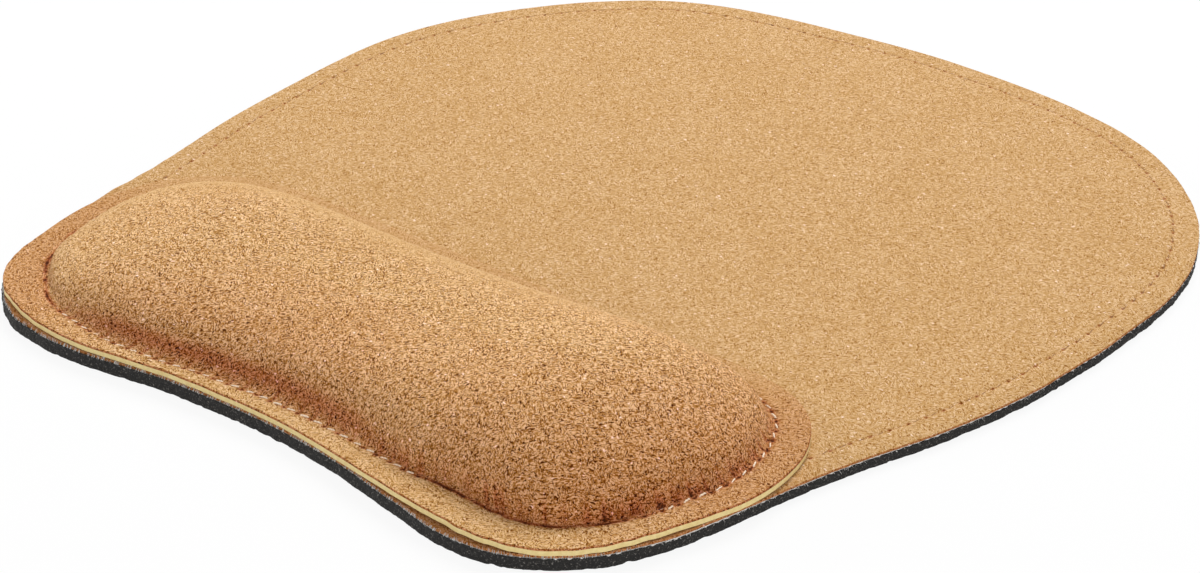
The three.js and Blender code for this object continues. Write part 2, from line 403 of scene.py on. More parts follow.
@dataclass(frozen=True)
class Board:
    """A node tree with short ways to add nodes and join them."""

    tree: bpy.types.NodeTree

    def feed(self, socket: Socket, value: Value) -> None:
        """Joins a socket to another, or sets its own value.

        Args:
            socket: The input.
            value: Another socket, a number, or a colour or vector.
        """
        if isinstance(value, Socket):
            self.tree.links.new(value, socket)
        elif isinstance(value, (int, float)) or len(value) == len(socket.default_value):
            socket.default_value = value
        else:
            socket.default_value = (*value, 1.0)

    def add(self, kind: str, inputs: dict[str | int, Value] | None = None,
            **settings: object) -> bpy.types.Node:
        """Adds a node.

        Args:
            kind: Type of the node.
            inputs: Values or sockets by the name or place of the input.
            settings: Properties of the node.

        Returns:
            The node.
        """
        node = self.tree.nodes.new(kind)
        for name, value in settings.items():
            setattr(node, name, value)
        for key, value in (inputs or {}).items():
            self.feed(node.inputs[key], value)
        return node

    def math(self, operation: str, *values: Value) -> Socket:
        """Result of a Math node."""
        return self.add("ShaderNodeMath", dict(enumerate(values)), operation=operation).outputs[0]

    def shift(self, operation: str, place: Value, by: Value) -> Socket:
        """Result of a Vector Math node on a vector and another vector or a scale."""
        inputs = {0: place, "Scale" if operation == "SCALE" else 1: by}
        return self.add("ShaderNodeVectorMath", inputs, operation=operation).outputs[0]

    def remap(self, value: Value, low: float, high: float, start: float = 0.0,
              end: float = 1.0) -> Socket:
        """Value brought smoothly from one range to another, and held at its ends."""
        inputs = {"Value": value, "From Min": low, "From Max": high, "To Min": start, "To Max": end}
        return self.add("ShaderNodeMapRange", inputs, interpolation_type="SMOOTHSTEP").outputs[0]

    def blend(self, share: Value, first: Value, second: Value, how: str = "MIX") -> Socket:
        """Colour between two colours.

        Args:
            share: 0 for the first colour and 1 for the second.
            first: The first colour.
            second: The second colour.
            how: Name of the way in which they blend.

        Returns:
            The socket of the colour.
        """
        inputs = {0: share, 6: first, 7: second}
        settings = {"data_type": "RGBA", "blend_type": how, "clamp_factor": True}
        return self.add("ShaderNodeMix", inputs, **settings).outputs[2]

    def noise(self, place: Value, scale: float, detail: float = 2.0,
              roughness: float = 0.5) -> bpy.types.NodeOutputs:
        """Outputs of a Noise Texture node, first its value and then its colour."""
        inputs = {"Vector": place, "Scale": scale, "Detail": detail, "Roughness": roughness}
        return self.add("ShaderNodeTexNoise", inputs).outputs

    def cells(self, place: Value, scale: Value) -> bpy.types.NodeOutputs:
        """Outputs of a Voronoi Texture node, among them the distance and the colour."""
        return self.add("ShaderNodeTexVoronoi", {"Vector": place, "Scale": scale}).outputs

    def attribute(self, name: str) -> Socket:
        """A named value of the mesh."""
        return self.add("ShaderNodeAttribute", attribute_name=name).outputs["Fac"]

    def deepen(self, colour: Value, depth: Value, powers: Colour) -> Socket:
        """Multiplies each channel of a colour by e to the power of a depth.

        Args:
            colour: The colour.
            depth: The depth, below 0 to darken.
            powers: What the depth is multiplied by for red, green and blue.

        Returns:
            The socket of the colour.
        """
        channels = [self.math("EXPONENT", self.math("MULTIPLY", depth, power)) for power in powers]
        scale = self.add("ShaderNodeCombineXYZ", dict(enumerate(channels))).outputs[0]
        return self.blend(1.0, colour, scale, "MULTIPLY")

    def parts(self, colour: Socket) -> list[Socket]:
        """The three parts of a colour or vector."""
        return list(self.add("ShaderNodeSeparateXYZ", {0: colour}).outputs)

    def backdrop_rays(self) -> Socket:
        """Tells rays that show a surface, directly or in gloss or glass, from its light.

        Returns:
            The socket of the mask, 1 for rays that show the surface.
        """
        rays = self.add("ShaderNodeLightPath").outputs
        mirrored = self.math("MAXIMUM", rays["Is Glossy Ray"], rays["Is Transmission Ray"])
        return self.math("MAXIMUM", rays["Is Camera Ray"], mirrored)


def new_group(name: str, inputs: dict[str, Value | None],
              outputs: Sequence[str]) -> tuple[Board, dict[str, Socket], dict[str, Socket]]:
    """Starts a shader node group with named sockets.

    Args:
        name: Name of the group.
        inputs: Default value of each input by name: a number, a colour, or None for a vector.
        outputs: Names of the outputs, of which Color is a colour and any other a number.

    Returns:
        The board of the group, its input sockets by name, and its output sockets by name.
    """
    tree = bpy.data.node_groups.new(name, "ShaderNodeTree")
    for label, default in inputs.items():
        kind = "Vector" if default is None else "Float" if isinstance(default, float) else "Color"
        socket = tree.interface.new_socket(
            name=label, in_out="INPUT", socket_type=f"NodeSocket{kind}")
        if default is not None:
            socket.default_value = default if kind == "Float" else (*default, 1.0)
    for label in outputs:
        kind = "Color" if label == "Color" else "Float"
        tree.interface.new_socket(name=label, in_out="OUTPUT", socket_type=f"NodeSocket{kind}")
    board = Board(tree)
    given = board.add("NodeGroupInput").outputs
    result = board.add("NodeGroupOutput").inputs
    sockets = {label: given[label] for label in inputs}
    return board, sockets, {label: result[label] for label in outputs}


def drawn_out(board: Board, place: Socket, bent: Socket) -> Socket:
    """Place in which round spots turn into strokes along one of two slanting directions.

    Args:
        board: The board to add to.
        place: Place that decides between the two directions.
        bent: Place that is drawn out.

    Returns:
        The socket of the new place.
    """
    x, y, z = board.parts(bent)
    side = board.math("GREATER_THAN", board.noise(place, 0.45, 1.0)[0], 0.5)
    way = board.math("MULTIPLY_ADD", side, 2.0, -1.0)
    along = board.math("ADD", x, board.math("MULTIPLY", y, way))
    across = board.math("SUBTRACT", y, board.math("MULTIPLY", x, way))
    drawn = [
        board.math("MULTIPLY", part, share)
        for part, share in ((along, 0.65), (across, 2.2), (z, 2.2))
    ]
    return board.add("ShaderNodeCombineXYZ", dict(enumerate(drawn))).outputs[0]


def grain_group() -> bpy.types.NodeTree:
    """Cork of pressed granules: their tones, and the gaps, fibres, specks and chips among them.

    Returns:
        The group.
    """
    board, given, result = new_group(
        "Cork granules",
        {"Place": None, "Granule": 0.6, "Contrast": 0.5, "Gaps": 0.5, "Fibres": 0.5, "Specks": 0.1,
         "Chips": 0.05, "Body": (0.6, 0.35, 0.14), "Even": (0.6, 0.35, 0.14)},
        ("Color", "Height"),
    )
    place = given["Place"]
    wobble = board.shift("SUBTRACT", board.noise(place, 1.3)["Color"], (0.5, 0.5, 0.5))
    bent = board.shift("ADD", place, board.shift("SCALE", wobble, 0.9))
    drawn = drawn_out(board, place, bent)

    def strokes(offset: Colour, scale: float, low: float, high: float) -> Socket:
        """Short slanting strokes.

        Args:
            offset: Where in the noise the strokes are taken from.
            scale: Scale of the noise.
            low: Value of the noise where a stroke starts to show.
            high: Value of the noise where a stroke shows fully.

        Returns:
            The socket of the mask, 1 inside the strokes.
        """
        value = board.noise(board.shift("ADD", drawn, offset), scale, 1.0)[0]
        return board.remap(value, low, high)

    def spots(spot_place: Socket, scale: float, part: int, share: Socket, radius: float) -> Socket:
        """Round spots in some of the cells.

        Args:
            spot_place: Place of the cells.
            scale: Scale of the cells.
            part: Which part of a cell's colour decides whether it has a spot.
            share: Share of the cells that have one.
            radius: Radius where a spot ends, in sizes of a cell.

        Returns:
            The socket of the mask, 1 inside the spots.
        """
        cell = board.cells(spot_place, scale)
        chosen = board.math("LESS_THAN", board.parts(cell["Color"])[part], share)
        return board.math("MULTIPLY", board.remap(cell["Distance"], radius, 0.22), chosen)

    granule = board.cells(bent, board.math("DIVIDE", 1.0, given["Granule"]))
    tone, rise, _ = board.parts(granule["Color"])
    fine = board.noise(drawn, 1.3, 1.0, 0.6)[0]
    spread = board.math(
        "ADD",
        board.math("MULTIPLY", board.math("SUBTRACT", tone, 0.5), 0.25),
        board.math("MULTIPLY", board.math("SUBTRACT", fine, 0.5), 3.2),
    )
    fibre = strokes((9.1, 4.7, 2.3), 1.4, 0.62, 0.70)
    gap = strokes((3.3, 8.9, 5.1), 1.2, 0.425, 0.35)
    speck_place = board.shift("ADD", bent, (31.7, 11.3, 7.9))
    speck = spots(speck_place, 1.5, 0, given["Specks"], 0.36)
    chip_place = board.shift("ADD", bent, (5.1, 17.9, 3.3))
    chip_place = board.shift("MULTIPLY", chip_place, (0.8, 1.4, 1.0))
    chip = spots(chip_place, 0.9, 1, given["Chips"], 0.34)

    # The crease attribute read here is painted shade; within it the grain is livelier.
    calm, worn = board.attribute("calm"), board.attribute("crease")
    lively = board.math("MULTIPLY_ADD", calm, -0.8, board.math("MULTIPLY_ADD", worn, 0.9, 1.0))
    depth = board.math("MULTIPLY", spread, given["Contrast"])
    gaps = board.math("MULTIPLY", given["Gaps"], -1.0)
    for mask, amount in ((fibre, given["Fibres"]), (gap, gaps), (speck, -0.8)):
        depth = board.math("MULTIPLY_ADD", mask, amount, depth)
    depth = board.math("MULTIPLY_ADD", chip, 0.3, board.math("MINIMUM", depth, 0.28))
    broad = board.remap(board.noise(place, 0.06)[0], 0.3, 0.7, -0.015, 0.015)
    depth = board.math("ADD", board.math("MULTIPLY", depth, lively), broad)
    # Calm grain takes the paler, bluer even colour, on the dome's back side partly a painted sheen.
    body = board.blend(calm, given["Body"], given["Even"])
    board.feed(result["Color"], board.deepen(body, depth, (1.0, 1.55, 3.0)))

    height = board.math("MULTIPLY_ADD", rise, 0.3, board.math("MULTIPLY", fine, 0.7))
    for mask, step in ((gap, -0.9), (fibre, 0.4), (speck, -0.5), (chip, 0.3)):
        height = board.math("MULTIPLY_ADD", mask, step, height)
    board.feed(result["Height"], board.math("MULTIPLY", height, lively))
    return board.tree


def crease_group() -> bpy.types.NodeTree:
    """Painted shade, redder then darker, where a surface is cut or pulled down into a seam or hole.

    Returns:
        The group.
    """
    board, given, result = new_group(
        "Crease shade", {"Color": (0.5, 0.5, 0.5), "Deep": (0.04, 0.012, 0.005)}, ("Color",))
    # The crease value is painted shade: first a redder colour, then the deep colour.
    pulled = board.attribute("crease")
    redder = board.deepen(given["Color"], board.math("MULTIPLY", pulled, -1.0), (1.0, 2.3, 3.1))
    board.feed(result["Color"], board.blend(board.remap(pulled, 0.45, 1.0), redder, given["Deep"]))
    return board.tree


def pore_group() -> bpy.types.NodeTree:
    """Open cells of a cut foam: little pits of two sizes, and the light dust on their walls.

    Returns:
        The group.
    """
    board, given, result = new_group(
        "Foam pores",
        {"Place": None, "Pore": 0.35, "Body": (0.03, 0.03, 0.03), "Dust": (0.12, 0.12, 0.12)},
        ("Color", "Height"),
    )
    count = board.math("DIVIDE", 1.0, given["Pore"])
    pits = board.cells(given["Place"], count)["Distance"]
    fine = board.cells(given["Place"], board.math("MULTIPLY", count, 2.6))["Distance"]
    dust = board.remap(board.noise(given["Place"], 2.4, 3.0, 0.7)[0], 0.52, 0.72)
    wall = board.remap(pits, 0.25, 0.75)
    speckle = board.math("MULTIPLY", dust, wall)
    board.feed(result["Color"], board.blend(speckle, given["Body"], given["Dust"]))
    board.feed(result["Height"], board.math("MULTIPLY_ADD", fine, 0.4, wall))
    return board.tree


def weave_group() -> bpy.types.NodeTree:
    """Plain weave of a thin cloth, with slightly uneven yarns.

    Returns:
        The group.
    """
    board, given, result = new_group(
        "Plain weave",
        {"Place": None, "Yarn": 0.4, "Body": (0.5, 0.5, 0.5), "Hollow": (0.2, 0.2, 0.2)},
        ("Color", "Height"),
    )
    uneven = board.shift("SCALE", board.noise(given["Place"], 0.8)["Color"], 0.25)
    place = board.shift("ADD", given["Place"], uneven)
    phases = board.parts(board.shift("SCALE", place, board.math("DIVIDE", np.pi, given["Yarn"])))
    warp, weft, rise = (board.math("ABSOLUTE", board.math("SINE", phase)) for phase in phases)
    yarn = board.math("MAXIMUM", warp, board.math("MAXIMUM", weft, rise))
    fuzz = board.noise(given["Place"], 5.0, 3.0, 0.7)[0]
    top = board.math("MULTIPLY_ADD", fuzz, 0.5, board.math("MULTIPLY", yarn, 0.75))
    colour = board.blend(board.remap(top, 0.55, 1.0), given["Hollow"], given["Body"])
    board.feed(result["Color"], colour)
    board.feed(result["Height"], top)
    return board.tree


def ply_group() -> bpy.types.NodeTree:
    """Two plies of a sewing thread wound round each other, with fuzz.

    Returns:
        The group.
    """
    board, given, result = new_group(
        "Thread plies",
        {"Place": None, "Body": (0.5, 0.5, 0.5), "Groove": (0.2, 0.2, 0.2)},
        ("Color", "Height"),
    )
    turn = board.math("MULTIPLY", board.attribute("turn"), 2 * TURN)
    phase = board.math("MULTIPLY_ADD", board.attribute("run"), 8.0, turn)
    ridge = board.math("MULTIPLY_ADD", board.math("SINE", phase), 0.5, 0.5)
    fuzz = board.noise(given["Place"], 9.0, 3.0, 0.7)[0]
    top = board.math("MULTIPLY_ADD", fuzz, 0.5, board.math("MULTIPLY", ridge, 0.6))
    colour = board.blend(board.remap(top, 0.2, 0.7), given["Groove"], given["Body"])
    board.feed(result["Color"], colour)
    board.feed(result["Height"], top)
    return board.tree


class Effect(Enum):
    """The node groups that the finishes share."""

    GRAIN = "grain"
    CREASE = "crease"
    PORES = "pores"
    WEAVE = "weave"
    PLIES = "plies"


MAKERS: dict[Effect, Callable[[], bpy.types.NodeTree]] = {
    Effect.GRAIN: grain_group,
    Effect.CREASE: crease_group,
    Effect.PORES: pore_group,
    Effect.WEAVE: weave_group,
    Effect.PLIES: ply_group,
}


@cache
def group_of(effect: Effect) -> bpy.types.NodeTree:
    """The node group of an effect, built when it is first asked for."""
    return MAKERS[effect]()


def place_effect(board: Board, effect: Effect, inputs: dict[str, Value]) -> bpy.types.NodeOutputs:
    """Puts an effect into a material with its own values, and gives its outputs."""
    return board.add("ShaderNodeGroup", inputs, node_tree=group_of(effect)).outputs


# Finishes


@dataclass(frozen=True)
class Finish:
    """A material with one roughness, whose colour and relief come from one effect."""

    effect: ClassVar[Effect]
    name: str
    roughness: float
    relief_mm: float

    def inputs(self) -> dict[str, Value]:
        """Values of the effect's inputs."""
        return {}

    def constants(self) -> dict[str, Value]:
        """Values of other shader inputs."""
        return {}

    def pattern(self, board: Board, place: Socket) -> tuple[Socket, Socket]:
        """Colour and height of the surface.

        Args:
            board: The board of the material.
            place: Place on the object in millimetres.

        Returns:
            The sockets of the colour and of the height.
        """
        outputs = place_effect(board, self.effect, {"Place": place, **self.inputs()})
        return outputs["Color"], outputs["Height"]

    def make(self) -> bpy.types.Material:
        """Builds the material.

        Returns:
            The material.
        """
        material = bpy.data.materials.new(self.name)
        material.use_nodes = True
        board = Board(material.node_tree)
        shader = material.node_tree.nodes["Principled BSDF"]
        place = board.add("ShaderNodeTexCoord").outputs["Object"]
        colour, height = self.pattern(board, board.shift("SCALE", place, 1 / MM))
        board.feed(shader.inputs["Base Color"], colour)
        relief = {"Strength": 1.0, "Distance": self.relief_mm * MM, "Height": height}
        board.feed(shader.inputs["Normal"], board.add("ShaderNodeBump", relief).outputs[0])
        for name, value in {"Roughness": self.roughness, **self.constants()}.items():
            shader.inputs[name].default_value = value
        return material


@dataclass(frozen=True)
class Cork(Finish):
    """Sheet of pressed cork granules."""

    effect: ClassVar[Effect] = Effect.GRAIN
    sheen: float
    granule_mm: float
    contrast: float
    gaps: float
    fibres: float
    specks: float
    chips: float
    body: Colour
    even: Colour
    deep: Colour

    def inputs(self) -> dict[str, Value]:
        """Values of the effect's inputs."""
        return {"Granule": self.granule_mm, "Contrast": self.contrast, "Gaps": self.gaps,
                "Fibres": self.fibres, "Specks": self.specks, "Chips": self.chips,
                "Body": self.body, "Even": self.even}

    def constants(self) -> dict[str, Value]:
        """A faint warm sheen and hardly any gloss."""
        return {"Specular IOR Level": 0.05, "Sheen Weight": self.sheen, "Sheen Roughness": 0.15,
                "Sheen Tint": (1.0, 0.86, 0.78, 1.0)}

    def pattern(self, board: Board, place: Socket) -> tuple[Socket, Socket]:
        """Colour and height of the cork, with painted shade in its creases, holes and seams.

        Args:
            board: The board of the material.
            place: Place on the object in millimetres.

        Returns:
            The sockets of the colour and of the height.
        """
        colour, height = super().pattern(board, place)
        crease = place_effect(board, Effect.CREASE, {"Color": colour, "Deep": self.deep})
        return crease["Color"], height


@dataclass(frozen=True)
class Foam(Finish):
    """Open-celled foam with a cut edge."""

    effect: ClassVar[Effect] = Effect.PORES
    pore_mm: float
    body: Colour
    dust: Colour

    def inputs(self) -> dict[str, Value]:
        """Values of the effect's inputs."""
        return {"Pore": self.pore_mm, "Body": self.body, "Dust": self.dust}

    def constants(self) -> dict[str, Value]:
        """Less gloss than a smooth skin has."""
        return {"Specular IOR Level": 0.25}


@dataclass(frozen=True)
class Cloth(Finish):
    """Thin woven backing."""

    effect: ClassVar[Effect] = Effect.WEAVE
    yarn_mm: float
    body: Colour
    hollow: Colour

    def inputs(self) -> dict[str, Value]:
        """Values of the effect's inputs."""
        return {"Yarn": self.yarn_mm, "Body": self.body, "Hollow": self.hollow}

    def constants(self) -> dict[str, Value]:
        """The sheen of fine fuzz."""
        return {"Sheen Weight": 0.2}


@dataclass(frozen=True)
class Thread(Finish):
    """Twisted sewing thread."""

    effect: ClassVar[Effect] = Effect.PLIES
    sheen: float
    body: Colour
    groove: Colour

    def inputs(self) -> dict[str, Value]:
        """Values of the effect's inputs."""
        return {"Body": self.body, "Groove": self.groove}

    def constants(self) -> dict[str, Value]:
        """The sheen of the thread."""
        return {"Sheen Weight": self.sheen}


@dataclass(frozen=True)
class PlainSheet(Finish):
    """Dull even sheet, such as the board under the rest or an adhesive film."""

    body: Colour
    worn: Colour
    mottle_per_mm: float

    def pattern(self, board: Board, place: Socket) -> tuple[Socket, Socket]:
        """Colour and height of the sheet, both from one soft mottle.

        Args:
            board: The board of the material.
            place: Place on the object in millimetres.

        Returns:
            The sockets of the colour and of the height.
        """
        mottle = board.noise(place, self.mottle_per_mm, 4.0, 0.6)[0]
        return board.blend(board.remap(mottle, 0.3, 0.7), self.body, self.worn), mottle


# Each cork's deep colour is the painted shade at the bottom of its holes and seams.
PAD_CORK = Cork(
    name="Pad cork", roughness=0.75, relief_mm=0.04, sheen=0.0, granule_mm=0.55, contrast=0.42,
    gaps=0.55, fibres=0.15, specks=0.08, chips=0.10, body=(0.573, 0.347, 0.148),
    even=(0.573, 0.347, 0.148), deep=(0.100, 0.025, 0.006),
)
# The rest's even colour is paler and bluer: on the dome's back side partly a painted sheen.
REST_CORK = Cork(
    name="Rest cork", roughness=0.75, relief_mm=0.07, sheen=0.08, granule_mm=0.5, contrast=1.2,
    gaps=1.55, fibres=0.3, specks=0.16, chips=0.12, body=(0.647, 0.375, 0.144),
    even=(0.600, 0.388, 0.182), deep=(0.080, 0.020, 0.004),
)
BLACK_FOAM = Foam(
    name="Black foam", roughness=0.9, relief_mm=0.08, pore_mm=0.42,
    body=(0.021, 0.020, 0.019), dust=(0.240, 0.225, 0.205),
)
CUSHION_FOAM = Foam(
    name="Cushion foam", roughness=0.9, relief_mm=0.05, pore_mm=0.5,
    body=(0.62, 0.55, 0.42), dust=(0.72, 0.66, 0.54),
)
BACKING_CLOTH = Cloth(
    name="Backing cloth", roughness=0.95, relief_mm=0.06, yarn_mm=0.42,
    body=(0.72, 0.70, 0.67), hollow=(0.24, 0.22, 0.20),
)
BROWN_THREAD = Thread(
    name="Brown thread", roughness=0.8, relief_mm=0.03, sheen=0.0,
    body=(0.330, 0.165, 0.048), groove=(0.150, 0.062, 0.014),
)
PALE_THREAD = Thread(
    name="Pale thread", roughness=0.7, relief_mm=0.02, sheen=0.05,
    body=(0.950, 0.800, 0.620), groove=(0.760, 0.580, 0.420),
)
KHAKI_SHEET = PlainSheet(
    name="Khaki base sheet", roughness=0.7, relief_mm=0.02, mottle_per_mm=0.9,
    body=(0.720, 0.545, 0.225), worn=(0.800, 0.640, 0.300),
)
ADHESIVE_FILM = PlainSheet(
    name="Adhesive film", roughness=0.5, relief_mm=0.01, mottle_per_mm=0.4,
    body=(0.240, 0.190, 0.130), worn=(0.330, 0.270, 0.190),
)


# Sub-assemblies

PAD_HALF: Table = (
    (0, -0.946), (0.16, -0.953), (0.367, -0.983), (0.522, -0.999), (0.624, -0.979),
    (0.742, -0.889), (0.789, -0.802), (0.818, -0.71), (0.861, -0.518), (0.916, -0.33),
    (0.962, -0.141), (0.987, 0.054), (1, 0.248), (0.977, 0.441), (0.898, 0.622), (0.777, 0.779),
    (0.613, 0.899), (0.416, 0.961), (0.208, 0.987), (0, 1),
)
REST_HALF: Table = (
    (0, -0.906), (0.222, -0.925), (0.411, -0.968), (0.555, -1), (0.677, -0.975), (0.782, -0.865),
    (0.866, -0.705), (0.932, -0.494), (0.974, -0.223), (1, 0.12), (0.994, 0.391), (0.966, 0.62),
    (0.91, 0.81), (0.835, 0.925), (0.733, 0.975), (0.555, 0.995), (0.333, 1), (0, 1),
)


def box_mm(node: str) -> tuple[Vector, Vector]:
    """Lowest and highest corner of a CAD node, in millimetres."""
    low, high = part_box(node)
    return low / MM, high / MM


def stitch_shares(stitches: int, steps: Sequence[float]) -> np.ndarray:
    """Shares of a seam's length with the same steps within each stitch.

    Args:
        stitches: How many stitches the seam has.
        steps: Places within one stitch, from 0 at its first hole to below 1.

    Returns:
        The shares in rising order.
    """
    return (np.arange(stitches)[:, None] + np.array(steps)[None, :]).reshape(-1) / stitches


def hole_nearness(shares: np.ndarray, stitches: int, pitch_mm: float,
                  reach_mm: float) -> np.ndarray:
    """How near each share is to a needle hole, from 0 to 1."""
    place = np.mod(shares * stitches + 0.5, 1.0) - 0.5
    return bump(place * pitch_mm, reach_mm)


@dataclass
class Seam:
    """A line of lockstitches and the strands that show of it."""

    line: PlanLine
    pitch_mm: float
    half_width_mm: float
    half_height_mm: float
    reach_share: float
    slant_mm: float
    seed: Draw
    steps: int = 13
    sides: int = 8
    lay_mm: float = 1.6

    def stitches(self) -> int:
        """How many stitches fit round the line."""
        return int(round(self.line.length() / self.pitch_mm))

    def add_to(self, piece: Piece, height: Callable[[np.ndarray], np.ndarray | float],
               dip_mm: float) -> None:
        """Adds the strands of the seam to a piece.

        Args:
            piece: The piece that gets them.
            height: Height of the strands' middles at shares of the line.
            dip_mm: How far their ends go down into the holes, or up if negative.
        """
        count = self.stitches()
        rng = np.random.default_rng(self.seed)
        t = np.linspace(-1, 1, self.steps)[None, :]
        centre = np.arange(count)[:, None] + 0.5 + rng.normal(0, 0.02, (count, 1))
        place = (centre + t * self.reach_share / 2 * rng.uniform(0.85, 1.1, (count, 1))) / count
        flat = place.reshape(-1)
        out = self.line.outward(flat)
        slant = (t * self.slant_mm + rng.normal(0, 0.05, (count, 1))).reshape(-1)
        sink = np.broadcast_to(dip_mm * np.abs(t) ** 5, place.shape).reshape(-1)
        centres = with_height(self.line.at(flat) + out * slant[:, None], height(flat) - sink)
        shape = (count, self.steps, 3)
        taper = np.sqrt(np.clip(1 - np.abs(t) ** 4, 0.05, 1))
        thick = rng.normal(1, 0.14, (count, 1))
        run = (t + 1) / 2 * self.pitch_mm * self.reach_share
        piece.add_strands(
            centres.reshape(shape),
            with_height(out, 0.0).reshape(shape),
            self.half_width_mm * taper * thick,
            self.half_height_mm * taper * thick,
            self.sides,
            twist=run * TURN / self.lay_mm + rng.uniform(0, TURN, (count, 1)),
            along=run + rng.uniform(0, 3, (count, 1)),
        )


@dataclass
class PadLaminate:
    """The pad: foam rubber, a thin cloth on it, and a sheet of cork sewn round its edge."""

    seam_inset_mm: float = 5.8
    pitch_mm: float = 4.6
    furrow_mm: float = 0.2
    furrow_half_mm: float = 0.42
    hole_mm: float = 0.34
    hole_depth_mm: float = 0.24
    hole_across_mm: float = 0.26
    needle_sink_mm: float = 0.16
    needle_dip_mm: float = 0.4
    bobbin_dip_mm: float = -0.25
    groove_half_mm: float = 0.85
    groove_mm: float = 0.6
    groove_slope_mm: float = 0.2
    nick_pitch_mm: float = 2.4
    nick_mm: float = 0.3
    nick_stray: float = 0.12
    nick_sizes: tuple[float, float] = (0.35, 1.0)
    nick_shift_mm: float = 0.25
    nick_half_mm: float = 0.75
    nick_from: float = 0.45
    ledge_mm: float = 0.5
    ledge_rim_mm: float = 0.4
    ledge_slope_mm: float = 0.06
    droop_reach_mm: float = 1.1
    foam_inset_mm: float = 0.05
    foam_lip_mm: float = 0.3
    foam_lip_drop_mm: float = 0.02
    foot_round_mm: float = 0.2
    foot_round_to: float = 0.09
    torn_to: float = 0.2
    foam_flat_from_mm: float = 2.2
    foam_waves: Ripple = (420, 0.05)
    torn_foot: Ripple = (620, 0.13)
    foam_rough: Ripple = (1300, 0.05)
    foam_fine: Ripple = (700, 0.035)
    cloth_rough: Ripple = (1500, 0.05)
    cork_rough: Ripple = (1100, 0.025)
    cloth_inset_mm: float = 0.1
    cloth_levels: tuple[float, ...] = (0.0, 0.35, 0.7, 1.0)
    cloth_draw: float = 0.5
    cloth_flat_from_mm: float = 2.6
    recess_reach_mm: float = 3.0
    # Painted shade, as crease values: on the cork's cut edge, in the needle holes, along the
    # furrow, and near the front edge.
    edge_crease: float = 0.3
    hole_crease: float = 0.55
    furrow_crease: float = 0.1
    front_shade: float = 0.2
    front_reach_mm: float = 5.0
    yarns: int = 2600
    yarn_half_mm: float = 0.07
    fray_share: Table = (
        (0, 1), (0.12, 0.9), (0.15, 0.3), (0.34, 0.2), (0.5, 0.4), (0.8, 0.4), (0.87, 0.9),
        (0.95, 1),
    )
    rim_mm: Table = (
        (0, 0.35), (0.06, 0.3), (0.11, 0.2), (0.14, 0), (0.17, -0.3), (0.3, -0.35), (0.35, -0.15),
        (0.42, 0), (0.82, 0), (0.87, 0.3), (0.9, 0.55), (0.95, 0.45),
    )
    # Where the painted shade near the front edge lies.
    front_share: Table = ((0, 1), (0.12, 1), (0.155, 0.4), (0.19, 0), (0.82, 0), (0.86, 1))
    edge_stray_mm: Table = (
        (0, 0), (0.02, 0.15), (0.035, -0.05), (0.054, 0.2), (0.07, 0.7), (0.085, 0.7), (0.1, 0.8),
        (0.11, 0.6), (0.12, 0.3), (0.13, 0.6), (0.14, 0.4), (0.155, 0.2), (0.19, -0.1),
        (0.215, 0.8), (0.235, 1), (0.25, 1.25), (0.26, 0.9), (0.27, 0.6), (0.29, -0.2),
        (0.307, 0.1), (0.32, 0.35), (0.335, 0.85), (0.348, 1), (0.36, 1), (0.37, 0.65),
        (0.38, 0.2), (0.4, -0.3), (0.415, -0.5), (0.43, -0.1), (0.47, 0.6), (0.49, 0.25),
        (0.51, 0.1), (0.55, -0.1), (0.575, 0.3), (0.6, 0.5), (0.62, 0), (0.64, -0.2), (0.67, -0.1),
        (0.7, 0.3), (0.72, -0.2), (0.76, -0.6), (0.79, -0.35), (0.8, -0.15), (0.81, 0.35),
        (0.82, 1.4), (0.83, 2.6), (0.845, 2.4), (0.855, 1.4), (0.865, 0.6), (0.88, 0.7),
        (0.89, 0.9), (0.9, 0.4), (0.908, -0.4), (0.92, -1.15), (0.93, -0.8), (0.942, -0.2),
        (0.955, -0.5), (0.965, -0.6), (0.98, 0),
    )
    steps: tuple[float, ...] = (
        0, 0.035, 0.075, 0.13, 0.2, 0.3, 0.4, 0.5, 0.6, 0.7, 0.8, 0.87, 0.925, 0.965,
    )
    foam_levels: tuple[float, ...] = (
        0.0, 0.03, 0.09, 0.18, 0.3, 0.42, 0.54, 0.66, 0.78, 0.88, 0.95, 1.0,
    )
    cork_insets_mm: tuple[float, ...] = (
        0.09, 0.25, 0.8, 2.0, 3.6, 4.6, 5.0, 5.25, 5.42, 5.55, 5.65, 5.73, 5.8, 5.87, 5.95, 6.05,
        6.18, 6.35, 6.6, 7.0, 8.0, 9.5, 12.0,
    )
    edge: PlanLine = field(init=False)
    seam: Seam = field(init=False)
    shares: np.ndarray = field(init=False)
    rim: np.ndarray = field(init=False)

    def __post_init__(self) -> None:
        """Sets out the edge, the seam and the shares of every ring on the CAD part's own box."""
        plain = PlanLine.from_shares(PAD_HALF, *box_mm("pad_cork_cover"))
        self.edge = plain.strayed(self.edge_stray_mm).even()
        self.seam = Seam(
            line=PlanLine(self.edge.moved(EVEN_SHARES, -self.seam_inset_mm)),
            pitch_mm=self.pitch_mm, half_width_mm=0.15, half_height_mm=0.11, reach_share=0.66,
            slant_mm=-0.3, seed=Draw.PAD_STITCHES,
        )
        self.shares = stitch_shares(self.seam.stitches(), self.steps)
        self.rim = read_table(self.rim_mm, self.shares)

    def ring(self, away: np.ndarray | float, height: np.ndarray | float) -> Points:
        """A ring at distances outside the pad's edge."""
        return with_height(self.edge.moved(self.shares, away), height)

